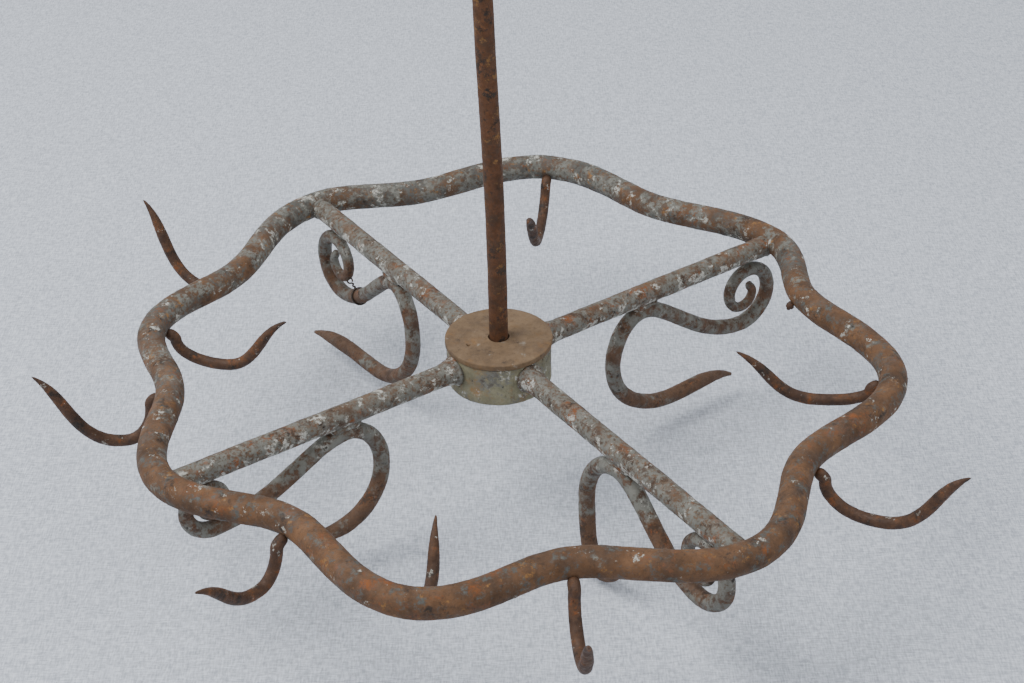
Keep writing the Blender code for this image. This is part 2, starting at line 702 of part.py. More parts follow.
def make_sheave(pivot):
    """Grooved sheave with a boss, a thin web and a rim, turned about the axle."""
    bore = AXLE_RADIUS + RUNNING_GAP
    rim = GROOVE_RADIUS + FLANGE_RISE
    ledge = GROOVE_RADIUS - 0.5 * ROPE_RADIUS
    side = [(bore, -SHEAVE_HALF_WIDTH), (BOSS_RADIUS, -SHEAVE_HALF_WIDTH), (BOSS_RADIUS, -WEB_HALF_WIDTH),
            (ledge, -WEB_HALF_WIDTH), (ledge, -RIM_HALF_WIDTH), (rim, -RIM_HALF_WIDTH),
            (rim, -RIM_HALF_WIDTH + RIM_LAND)]
    groove = []
    for step in range(5):
        angle = math.radians(-60.0 + 120.0 * step / 4)
        groove.append((GROOVE_RADIUS + ROPE_RADIUS * (1.0 - math.cos(angle)), ROPE_RADIUS * math.sin(angle)))
    profile = side + groove + [(radius, -height) for radius, height in side[::-1]]
    sheave = add_object("sheave", turned(profile, FINE_SIDES, closed=True), pivot, "block_iron")
    sheave.data.transform(Matrix.Rotation(math.radians(-90.0), 4, "X"))
    return sheave


def axle_tip():
    """Where the axle's plain end stops, outside the far arm."""
    return ARM_OUTER + GAP + SIDE_WASHER_THICK + AXLE_END


def make_axle(pivot):
    """Axle pin with a flat head, a plain end and the cotter's hole."""
    head = ARM_OUTER + GAP
    profile = [
        (0.0, -head - AXLE_HEAD_THICK), (AXLE_HEAD_RADIUS - RIM_ROUND, -head - AXLE_HEAD_THICK),
        (AXLE_HEAD_RADIUS, -head - AXLE_HEAD_THICK + RIM_ROUND), (AXLE_HEAD_RADIUS, -head),
        (AXLE_RADIUS, -head), (AXLE_RADIUS, axle_tip() - RIM_ROUND), (AXLE_RADIUS - RIM_ROUND, axle_tip()),
        (0.0, axle_tip()),
    ]
    axle = add_object("axle_pin", turned(profile, ROUND_SIDES), pivot, "worn_steel")
    axle.data.transform(lay_over())
    radius = COTTER_BAR + GAP
    hole = [(0.0, -BOSS_RADIUS), (radius, -BOSS_RADIUS), (radius, BOSS_RADIUS), (0.0, BOSS_RADIUS)]
    cutter = add_object("guide_cotter_hole", turned(hole, HOOK_SIDES), pivot)
    cutter.data.transform(Matrix.Translation((0.0, cotter_place(), GROOVE_RADIUS)))
    cut_away(axle, cutter)
    return axle


def cotter_place():
    """Distance of the cotter from the rod's axis, along the axle."""
    return ARM_OUTER + GAP + SIDE_WASHER_THICK + 2.0 * GAP + COTTER_BAR + COTTER_INSET


def make_cotter(pivot):
    """Cotter: wire down through the axle, its foot bent, its head curled to an eye."""
    place = cotter_place()
    foot = GROOVE_RADIUS - AXLE_RADIUS - COTTER_FOOT
    head = GROOVE_RADIUS + AXLE_RADIUS + COTTER_HEAD
    points = [Vector((COTTER_BEND, place, foot - 0.36 * COTTER_BEND)),
              Vector((0.36 * COTTER_BEND, place, foot - 0.16 * COTTER_BEND)),
              Vector((0.0, place, foot + 0.3 * COTTER_BEND)), Vector((0.0, place, GROOVE_RADIUS)),
              Vector((0.0, place, head))]
    for step in range(1, 11):
        angle = math.radians(30.0 * step)
        across = COTTER_EYE * (1.0 - math.cos(angle))
        points.append(Vector((across, place, head + COTTER_EYE * math.sin(angle))))
    shape = swept_bar(points, [COTTER_BAR] * len(points), WIRE_SIDES, Vector((0, 1, 0)))
    return add_object("cotter", shape, pivot, "worn_steel")


def make_axle_washer(pivot, name, low, thick):
    """Washer on the axle, its face low along the axle's own axis."""
    profile = rounded(SIDE_WASHER_RADIUS, low, low + thick, 0.3 * thick, AXLE_RADIUS + GAP)
    washer = add_object(name, turned(profile, ROUND_SIDES, closed=True), pivot, "worn_steel")
    washer.data.transform(lay_over())
    return washer


def make_stem(pivot):
    """Rod, stirrup, axle and what is fixed to them."""
    make_rod(pivot)
    make_thrust_washer(pivot)
    make_stirrup(pivot)
    make_axle(pivot)
    make_cotter(pivot)
    inner = SHEAVE_HALF_WIDTH + GAP
    make_axle_washer(pivot, "sheave_washer_near", -inner - SIDE_WASHER_THICK, SIDE_WASHER_THICK)
    make_axle_washer(pivot, "sheave_washer_far", inner, SIDE_WASHER_THICK)
    make_axle_washer(pivot, "axle_end_washer", ARM_OUTER + GAP, SIDE_WASHER_THICK)


def main():
    """Build the whole rack."""
    clear_scene()
    make_stem(add_pivot("stem_origin", (0.0, 0.0, 0.0)))
    make_sheave(add_pivot("sheave_pivot", (0.0, 0.0, GROOVE_RADIUS)))
    make_rack(add_pivot("rack_pivot", (0.0, 0.0, RING_LEVEL)))


main()
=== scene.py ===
"""Looks of the hanging hook rack: forged bars, cast hub, pulley block, rust and old zinc."""

import logging
import math
from dataclasses import dataclass, field
from enum import Enum

import bmesh
import bpy
from mathutils import Matrix, Vector

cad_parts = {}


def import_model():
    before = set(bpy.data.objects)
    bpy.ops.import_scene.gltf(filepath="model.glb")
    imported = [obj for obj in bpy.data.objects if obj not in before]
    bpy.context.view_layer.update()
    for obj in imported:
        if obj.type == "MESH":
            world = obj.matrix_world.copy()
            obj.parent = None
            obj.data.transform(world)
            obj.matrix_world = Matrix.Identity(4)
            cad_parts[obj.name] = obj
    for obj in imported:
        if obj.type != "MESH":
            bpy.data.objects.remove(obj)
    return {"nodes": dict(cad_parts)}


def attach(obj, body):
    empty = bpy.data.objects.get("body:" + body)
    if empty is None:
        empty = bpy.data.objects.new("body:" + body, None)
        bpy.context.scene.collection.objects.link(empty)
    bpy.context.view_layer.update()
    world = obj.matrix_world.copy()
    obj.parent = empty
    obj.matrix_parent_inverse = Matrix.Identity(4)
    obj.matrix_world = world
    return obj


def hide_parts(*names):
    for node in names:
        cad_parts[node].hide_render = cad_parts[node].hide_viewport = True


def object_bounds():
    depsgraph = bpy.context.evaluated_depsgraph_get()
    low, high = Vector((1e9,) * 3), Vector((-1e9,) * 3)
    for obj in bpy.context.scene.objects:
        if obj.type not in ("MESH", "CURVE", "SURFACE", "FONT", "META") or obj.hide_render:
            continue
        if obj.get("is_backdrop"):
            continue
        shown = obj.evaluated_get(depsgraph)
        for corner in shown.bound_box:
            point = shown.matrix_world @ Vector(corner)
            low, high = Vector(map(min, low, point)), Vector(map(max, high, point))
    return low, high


LOG = logging.getLogger("hook_rack")

Triple = tuple[float, float, float]
Profile = list[tuple[float, float]]
Tree = bpy.types.NodeTree
Socket = bpy.types.NodeSocket

# Bar radii, in metres.
RING_BAR = 0.0100
SPOKE_BAR = 0.0080
ROD_BAR = 0.0067
SCROLL_BAR = 0.0060
HOOK_BAR = 0.0042
WIRE_BAR = 0.0007
GAP = 0.0003

# Heights, worked down from the rope seat at the frame's origin.
CROWN_CLEAR = 0.0300
STRAP_THICK = 0.0060
ROD_DROP = 0.600
ROD_BOW = 0.0060
PLATE_RISE = 0.0131
PLATE_THICK = 0.0045
CROWN_UNDER = -CROWN_CLEAR - STRAP_THICK
PLATE_TOP = CROWN_UNDER - ROD_DROP
RING_LEVEL = PLATE_TOP - PLATE_RISE

# Hub.
PLATE_RADIUS = 0.0380
DRUM_RADIUS = 0.0370
DRUM_WALL = 0.0060
DRUM_HEIGHT = 0.0290
SPIGOT_DEPTH = 0.0015
SHOULDER_RADIUS = 0.0097
SHOULDER_LENGTH = 0.0130
OIL_HOLE_BEARING = 203.0
OIL_HOLE_REACH = 0.0225

# Pulley block.
GROOVE_RADIUS = 0.032
ROPE_RADIUS = 0.006
FLANGE_RISE = 0.009
RIM_HALF_WIDTH = 0.0100
SHEAVE_HALF_WIDTH = 0.0120
WEB_HALF_WIDTH = 0.0045
BOSS_RADIUS = 0.0140
AXLE_RADIUS = 0.0060
AXLE_BORE = 0.0065
SIDE_WASHER_THICK = 0.0018
SIDE_WASHER_RADIUS = 0.0120
ARM_INNER = SHEAVE_HALF_WIDTH + SIDE_WASHER_THICK + 2.0 * GAP
ARM_OUTER = ARM_INNER + STRAP_THICK

RING_RADIUS = 0.2520
SPOKE_LEVEL = -0.0010
ELLIPSE = 0.5523
COIL_INNER = 0.17
COIL_SWEEP = 520.0
COIL_BAR_END = 0.0032
SKEW_STAND = 0.17
HOOK_LAP = -0.0005

# A hook's root starts inside the ring bar, where it is forge welded, and comes out below.
ROOT_INSET = 0.0068
ROOT_DROP = 0.0040
ROOT_TURN = 0.0100

# Camera, placed about the ring's centre.
CAMERA_PLACE = Vector((0.00933, -1.07432, 0.70838))
CAMERA_ELEVATION = 33.08
CAMERA_ROLL = -0.979
CAMERA_LENS = 64.02
CAMERA_SENSOR = 36.0

UP = Vector((0.0, 0.0, 1.0))
RING_CENTRE = Vector((0.0, 0.0, RING_LEVEL))
AXLE_FRAME = Matrix.Translation((0, 0, GROOVE_RADIUS)) @ Matrix.Rotation(math.radians(-90.0), 4, "X")
FOOT_WASHER_THICK = 0.0025
NODE_SEED_STEP = 1.7
FLOOR_HALF = 9.0
FLOOR_CORNERS = ((-1, -1), (1, -1), (1, 1), (-1, 1))


class Side(Enum):
    """Which flank of the ring a pointed hook is lapped on."""

    OUTSIDE = 1
    INSIDE = -1


@dataclass(frozen=True)
class Lobe:
    """One crest or hollow of the ring: its bearing and how far it stands out."""

    bearing: float
    out: float

    @property
    def reach(self) -> float:
        """Distance from the rod to the bar's centre."""
        return RING_RADIUS + self.out


@dataclass(frozen=True)
class HookShape:
    """Sizes of one pointed hook, measured from the ring bar's centre."""

    name: str
    lobe: int
    side: Side
    throat: float
    drop: float
    reach: float
    rise: float
    flare: float
    sag: float
    skew: float = 0.0
    lean: float = 0.0


@dataclass(frozen=True)
class SpokeShape:
    """One spoke: the lobe it reaches and how much it sinks on the way."""

    name: str
    lobe: int
    droop: float


@dataclass(frozen=True)
class ScrollShape:
    """Sizes of one scroll hook, measured from its coil's centre."""

    spoke: int
    inset: float
    crest: float
    back: float
    throat: float
    drop: float
    tip: float
    tip_drop: float
    flare: float
    lean: float
    coil_drop: float
    coil_radius: float


LOBES = (
    Lobe(82.0, 0.030), Lobe(106.0, -0.004), Lobe(123.5, 0.014), Lobe(150.5, -0.022),
    Lobe(170.5, 0.001), Lobe(190.0, -0.022), Lobe(213.0, 0.008), Lobe(234.5, -0.024),
    Lobe(259.0, 0.018), Lobe(280.0, -0.017), Lobe(304.5, 0.021), Lobe(326.5, -0.014),
    Lobe(351.0, 0.022), Lobe(16.5, -0.017), Lobe(35.5, 0.009), Lobe(57.5, -0.009),
)
STUB_LOBE = 13
SPOKES = (
    SpokeShape("back_right", 14, 0.0014), SpokeShape("back_left", 2, -0.0005),
    SpokeShape("front_left", 6, 0.0060), SpokeShape("front_right", 10, 0.0085),
)
HOOKS = (
    HookShape("outer_hook_1", 3, Side.OUTSIDE, 0.028, 0.020, 0.081, 0.044, 43.0, 0.75),
    HookShape("outer_hook_2", 5, Side.OUTSIDE, 0.034, 0.038, 0.090, 0.023, 41.0, 0.63),
    HookShape("outer_hook_3", 7, Side.OUTSIDE, 0.031, 0.034, 0.083, 0.000, 23.0, 0.50, 0.005),
    HookShape("outer_hook_4", 9, Side.OUTSIDE, 0.042, 0.037, 0.085, 0.009, 35.0, 0.60, 0.001, -0.006),
    HookShape("outer_hook_5", 11, Side.OUTSIDE, 0.041, 0.030, 0.108, 0.028, 38.0, 0.70, -0.003),
    HookShape("inner_hook_1", 0, Side.INSIDE, 0.052, 0.038, 0.105, 0.004, 0.0, 0.55, -0.003, 0.002),
    HookShape("inner_hook_2", 4, Side.INSIDE, 0.050, 0.029, 0.099, 0.012, 25.0, 0.50),
    HookShape("inner_hook_3", 8, Side.INSIDE, 0.045, 0.028, 0.082, 0.001, 28.0, 0.50, 0.001, -0.004),
    HookShape("inner_hook_4", 12, Side.INSIDE, 0.051, 0.021, 0.108, 0.014, 25.0, 0.53),
)
SCROLLS = (
    ScrollShape(0, 0.026, -0.104, -0.131, -0.071, 0.1060, -0.008, 0.112, -30.0, 0.0, 0.0380, 0.0275),
    ScrollShape(1, 0.032, -0.090, -0.1145, -0.059, 0.1080, 0.026, 0.114, -20.0, 0.015, 0.0380, 0.0275),
    ScrollShape(2, 0.031, -0.104, -0.130, -0.087, 0.0980, -0.070, 0.080, 70.0, 0.0, 0.0345, 0.0200),
    ScrollShape(3, 0.047, -0.086, -0.122, -0.110, 0.1190, -0.071, 0.088, 40.0, 0.0, 0.0420, 0.0270),
)
TIE_SCROLL = 1
TIE_PLACE = -0.032


# ---------------------------------------------------------------- finishes


@dataclass(frozen=True)
class Layer:
    """A patchy coat over the base.

    Args are its linear colour, patch size per metre, how much of it shows and how soft its
    edge is; grit is the size of the specks it breaks into, drift how its cover changes
    for each metre along X, Y and Z from the ring's centre.
    """

    colour: Triple
    scale: float
    cover: float
    edge: float = 0.03
    grit: float = 260.0
    drift: Triple = (0.0, 0.0, 0.0)
    underside: float = 0.0
    strength: float = 1.0


@dataclass(frozen=True)
class Iron:
    """Finish of old iron: a mottled base, patchy coats over it, pits and bump.

    Args are colours as linear red, green and blue, and noise scales per metre.
    """

    name: str
    dark: Triple
    middle: Triple
    warm: Triple
    layers: tuple[Layer, ...] = ()
    grain: float = 45.0
    rough_low: float = 0.55
    rough_high: float = 0.90
    metallic: float = 0.0
    bump: float = 0.7
    gloss: float = 0.35

    def build(self) -> bpy.types.Material:
        """Make the node tree and return the material.

        Returns:
            The finished material.
        """
        material = bpy.data.materials.new(self.name)
        material.use_nodes = True
        tree = material.node_tree
        shader = tree.nodes["Principled BSDF"]
        place = tree.nodes.new("ShaderNodeTexCoord").outputs["Object"]
        mottle = noise(tree, place, self.grain, 9.0, 0.68)
        colour = ramp(tree, mottle, ((0.30, self.dark), (0.50, self.middle), (0.68, self.warm)))
        fleck = noise(tree, place, self.grain * 9.0, 6.0, 0.7)
        colour = cover(tree, step(tree, fleck, 0.60, 0.10, 0.6), colour, self.dark)
        normal_up = tree.nodes.new("ShaderNodeSeparateXYZ")
        geometry = tree.nodes.new("ShaderNodeNewGeometry")
        tree.links.new(geometry.outputs["Normal"], normal_up.inputs["Vector"])
        for layer in self.layers:
            patch = noise(tree, place, layer.scale, 9.0, 0.72)
            if layer.underside:
                bias = math_node(tree, "MULTIPLY", normal_up.outputs["Z"], -layer.underside)
                patch = math_node(tree, "ADD", patch, bias)
            if any(layer.drift):
                patch = math_node(tree, "ADD", patch, self.drift(tree, place, layer.drift))
            coat = step(tree, patch, 1.0 - layer.cover, layer.edge, layer.strength)
            broken = noise(tree, place, layer.grit, 6.0, 0.75)
            coat = math_node(tree, "MULTIPLY", coat, step(tree, broken, 0.455, 0.06, 1.0))
            tint = noise(tree, place, layer.grit * 0.5, 5.0, 0.7)
            shade = ramp(tree, tint, ((0.35, tuple(0.62 * part for part in layer.colour)),
                                      (0.65, layer.colour)))
            colour = cover(tree, coat, colour, shade)
        tree.links.new(colour, shader.inputs["Base Color"])
        rough = spread(tree, noise(tree, place, self.grain * 3.0, 6.0, 0.6), self.rough_low, self.rough_high)
        tree.links.new(rough, shader.inputs["Roughness"])
        shader.inputs["Metallic"].default_value = self.metallic
        shader.inputs["Specular IOR Level"].default_value = self.gloss
        self.add_bump(tree, place, shader)
        return material

    @staticmethod
    def drift(tree: Tree, place: Socket,
              slope: Triple) -> Socket:
        """How far the cover has drifted at a place, counted from the ring's centre.

        Args:
            tree: node tree to add to.
            place: coordinates to read.
            slope: change for each metre along each axis.

        Returns:
            The drift at each place.
        """
        offset = tree.nodes.new("ShaderNodeVectorMath")
        offset.operation = "SUBTRACT"
        offset.inputs[1].default_value = (0.0, 0.0, RING_LEVEL)
        tree.links.new(place, offset.inputs[0])
        along = tree.nodes.new("ShaderNodeVectorMath")
        along.operation = "DOT_PRODUCT"
        along.inputs[1].default_value = slope
        tree.links.new(offset.outputs["Vector"], along.inputs[0])
        return along.outputs["Value"]

    def add_bump(self, tree: Tree, place: Socket,
                 shader: bpy.types.Node) -> None:
        """Scale, pits and fine grain as one bump.

        Args:
            tree: node tree to add to.
            place: coordinates to read.
            shader: shader that takes the bump.
        """
        scale = noise(tree, place, 160.0, 8.0, 0.7)
        fine = noise(tree, place, 900.0, 4.0, 0.6)
        height = math_node(tree, "ADD", scale, math_node(tree, "MULTIPLY", fine, 0.45))
        bump = tree.nodes.new("ShaderNodeBump")
        bump.inputs["Strength"].default_value = self.bump
        bump.inputs["Distance"].default_value = 0.0010
        tree.links.new(height, bump.inputs["Height"])
        tree.links.new(bump.outputs["Normal"], shader.inputs["Normal"])


def noise(tree: Tree, place: Socket, scale: float, detail: float, roughness: float) -> Socket:
    """Fractal noise on object coordinates.

    Args:
        tree: node tree to add to.
        place: coordinates to read.
        scale: patches of noise per metre.
        detail: octaves of noise.
        roughness: weight of the fine octaves.

    Returns:
        The noise, from 0 to 1.
    """
    node = tree.nodes.new("ShaderNodeTexNoise")
    node.inputs["Scale"].default_value = scale
    node.inputs["Detail"].default_value = detail
    node.inputs["Roughness"].default_value = roughness
    tree.links.new(place, node.inputs["Vector"])
    return node.outputs["Fac"]


def stretched(tree: Tree, place: Socket, scale: Triple) -> Socket:
    """Object coordinates multiplied along each axis.

    Args:
        tree: node tree to add to.
        place: coordinates to read.
        scale: factor along each axis.

    Returns:
        The stretched coordinates.
    """
    node = tree.nodes.new("ShaderNodeVectorMath")
    node.operation = "MULTIPLY"
    node.inputs[1].default_value = scale
    tree.links.new(place, node.inputs[0])
    return node.outputs["Vector"]


def math_node(tree: Tree, operation: str, first: Socket | float, second: Socket | float) -> Socket:
    """One Math node; either input may be a socket or a number.

    Args:
        tree: node tree to add to.
        operation: name of the operation.
        first: first value.
        second: second value.

    Returns:
        The result.
    """
    node = tree.nodes.new("ShaderNodeMath")
    node.operation = operation
    for index, value in enumerate((first, second)):
        if isinstance(value, (int, float)):
            node.inputs[index].default_value = value
        else:
            tree.links.new(value, node.inputs[index])
    return node.outputs[0]


def map_range(tree: Tree, value: Socket, source: tuple[float, float],
              target: tuple[float, float]) -> bpy.types.Node:
    """Map Range node from one span to another.

    Args:
        tree: node tree to add to.
        value: socket to remap.
        source: span to map from.
        target: span to map to.

    Returns:
        The node.
    """
    node = tree.nodes.new("ShaderNodeMapRange")
    node.inputs["From Min"].default_value, node.inputs["From Max"].default_value = source
    node.inputs["To Min"].default_value, node.inputs["To Max"].default_value = target
    tree.links.new(value, node.inputs["Value"])
    return node


def spread(tree: Tree, value: Socket, low: float, high: float) -> Socket:
    """Stretch the middle of a noise over a range."""
    return map_range(tree, value, (0.3, 0.7), (low, high)).outputs["Result"]


def step(tree: Tree, value: Socket, threshold: float, edge: float, strength: float) -> Socket:
    """A soft threshold: nothing below it, strength above it.

    Args:
        tree: node tree to add to.
        value: socket to remap.
        threshold: middle of the step.
        edge: half the width of the step.
        strength: result above the step.

    Returns:
        The stepped value.
    """
    node = map_range(tree, value, (threshold - edge, threshold + edge), (0.0, strength))
    node.interpolation_type = "SMOOTHSTEP"
    return node.outputs["Result"]


def ramp(tree: Tree, value: Socket, stops: tuple[tuple[float, Triple], ...]) -> Socket:
    """Colour ramp from (position, colour) stops.

    Args:
        tree: node tree to add to.
        value: socket to remap.
        stops: positions and their colours.

    Returns:
        The colour.
    """
    node = tree.nodes.new("ShaderNodeValToRGB")
    elements = node.color_ramp.elements
    while len(elements) < len(stops):
        elements.new(0.5)
    for element, (position, colour) in zip(elements, stops):
        element.position = position
        element.color = (*colour, 1.0)
    tree.links.new(value, node.inputs["Fac"])
    return node.outputs["Color"]


def cover(tree: Tree, factor: Socket, under: Socket, over: Socket | Triple) -> Socket:
    """Lay a socket's colour, or a plain one, over another by a factor.

    Args:
        tree: node tree to add to.
        factor: how much of the upper colour shows.
        under: lower colour.
        over: upper colour.

    Returns:
        The mixed colour.
    """
    node = tree.nodes.new("ShaderNodeMix")
    node.data_type = "RGBA"
    tree.links.new(factor, node.inputs["Factor"])
    tree.links.new(under, node.inputs[6])
    if isinstance(over, tuple):
        node.inputs[7].default_value = (*over, 1.0)
    else:
        tree.links.new(over, node.inputs[7])
    return node.outputs[2]


ZINC = (0.165, 0.162, 0.140)
SLATE = (0.088, 0.090, 0.082)
PALE = (0.47, 0.46, 0.41)
OCHRE = (0.26, 0.125, 0.036)
ORANGE = (0.190, 0.062, 0.016)
UMBER = (0.060, 0.034, 0.020)
SOOT = (0.026, 0.018, 0.013)

# How zinc lasts: at the back left of the ring, and high on the scroll hooks.
BACK_LEFT = (-0.09, 0.30, 0.0)
BACK_LEFT_SOFT = (-0.05, 0.12, 0.0)
UPWARD = (0.0, 0.0, 1.7)

FINISHES = {
    "rusted_ring": Iron(
        "rusted_ring", (0.045, 0.025, 0.014), (0.100, 0.050, 0.023), (0.160, 0.078, 0.034),
        (Layer(SLATE, 26.0, 0.44, 0.09, 330.0, BACK_LEFT), Layer(ORANGE, 52.0, 0.40, 0.07, 300.0),
         Layer(SLATE, 120.0, 0.43, 0.06, 420.0), Layer(ZINC, 58.0, 0.425, 0.04, 380.0, BACK_LEFT),
         Layer(SOOT, 70.0, 0.39, 0.07, 330.0), Layer(OCHRE, 110.0, 0.38, 0.05, 400.0),
         Layer(PALE, 95.0, 0.385, 0.02, 460.0, BACK_LEFT_SOFT))),
    "galvanised_spoke": Iron(
        "galvanised_spoke", (0.050, 0.030, 0.018), (0.105, 0.062, 0.036), (0.160, 0.088, 0.044),
        (Layer(ZINC, 48.0, 0.60, 0.08, 380.0, underside=0.05), Layer(ORANGE, 80.0, 0.41, 0.06, 330.0),
         Layer(UMBER, 90.0, 0.43, 0.06, 300.0), Layer(SOOT, 110.0, 0.38, 0.05, 330.0),
         Layer(PALE, 105.0, 0.445, 0.02, 430.0, underside=0.05))),
    "hub_drum": Iron(
        "hub_drum", (0.100, 0.090, 0.058), (0.190, 0.175, 0.110), (0.270, 0.245, 0.160),
        (Layer(OCHRE, 50.0, 0.46, 0.08, 190.0, (0.0, 0.0, 3.2), strength=0.75),
         Layer(ZINC, 60.0, 0.47, 0.05, 240.0), Layer(UMBER, 60.0, 0.41, 0.06, 200.0, strength=0.7),
         Layer(SOOT, 110.0, 0.38, 0.04, 300.0), Layer(PALE, 90.0, 0.39, 0.02, 330.0))),
    "hub_plate": Iron(
        "hub_plate", (0.078, 0.049, 0.028), (0.142, 0.091, 0.050), (0.190, 0.125, 0.070),
        (Layer(OCHRE, 36.0, 0.40, 0.10, 160.0, strength=0.5),
         Layer(PALE, 90.0, 0.36, 0.05, 260.0, strength=0.35),
         Layer(SOOT, 85.0, 0.38, 0.06, 300.0, strength=0.7)),
        48.0, 0.60, 0.90, 0.0, 0.55),
    "rod_rust": Iron(
        "rod_rust", (0.036, 0.017, 0.008), (0.090, 0.036, 0.014), (0.150, 0.060, 0.022),
        (Layer(SOOT, 90.0, 0.43, 0.06, 240.0), Layer(UMBER, 60.0, 0.45, 0.06, 200.0, strength=0.7),
         Layer(OCHRE, 120.0, 0.40, 0.04, 330.0, strength=0.8)), 90.0),
    "hook_iron": Iron(
        "hook_iron", (0.032, 0.016, 0.010), (0.070, 0.034, 0.018), (0.120, 0.058, 0.026),
        (Layer(ORANGE, 90.0, 0.41, 0.05, 260.0), Layer(SOOT, 80.0, 0.43, 0.05, 260.0),
         Layer(PALE, 130.0, 0.375, 0.02, 380.0, strength=0.8)), 90.0, 0.42, 0.80, 0.1, 0.7),
    "scroll_iron": Iron(
        "scroll_iron", (0.044, 0.026, 0.016), (0.095, 0.050, 0.027), (0.150, 0.076, 0.036),
        (Layer(ORANGE, 70.0, 0.41, 0.05, 220.0), Layer(ZINC, 34.0, 0.605, 0.06, 170.0, UPWARD),
         Layer(UMBER, 70.0, 0.43, 0.05, 200.0), Layer(PALE, 80.0, 0.455, 0.03, 320.0, UPWARD, strength=0.75),
         Layer(SOOT, 80.0, 0.39, 0.05, 240.0)), 70.0, 0.45, 0.85),
    "tie_wire": Iron("tie_wire", (0.020, 0.015, 0.012), (0.045, 0.032, 0.023), (0.085, 0.052, 0.030),
                     (), 200.0, 0.4, 0.7, 0.4, 0.2),
    "block_iron": Iron(
        "block_iron", (0.040, 0.024, 0.015), (0.085, 0.045, 0.024), (0.135, 0.068, 0.032),
        (Layer(ORANGE, 80.0, 0.41, 0.05, 240.0), Layer(ZINC, 60.0, 0.40, 0.03, 240.0),
         Layer(SOOT, 80.0, 0.40, 0.05, 260.0))),
    "worn_steel": Iron(
        "worn_steel", (0.085, 0.072, 0.060), (0.19, 0.17, 0.15), (0.30, 0.28, 0.26),
        (Layer(ORANGE, 110.0, 0.40, 0.04, 330.0),), 90.0, 0.35, 0.6, 0.8, 0.3),
}


# ---------------------------------------------------------------- bench tools


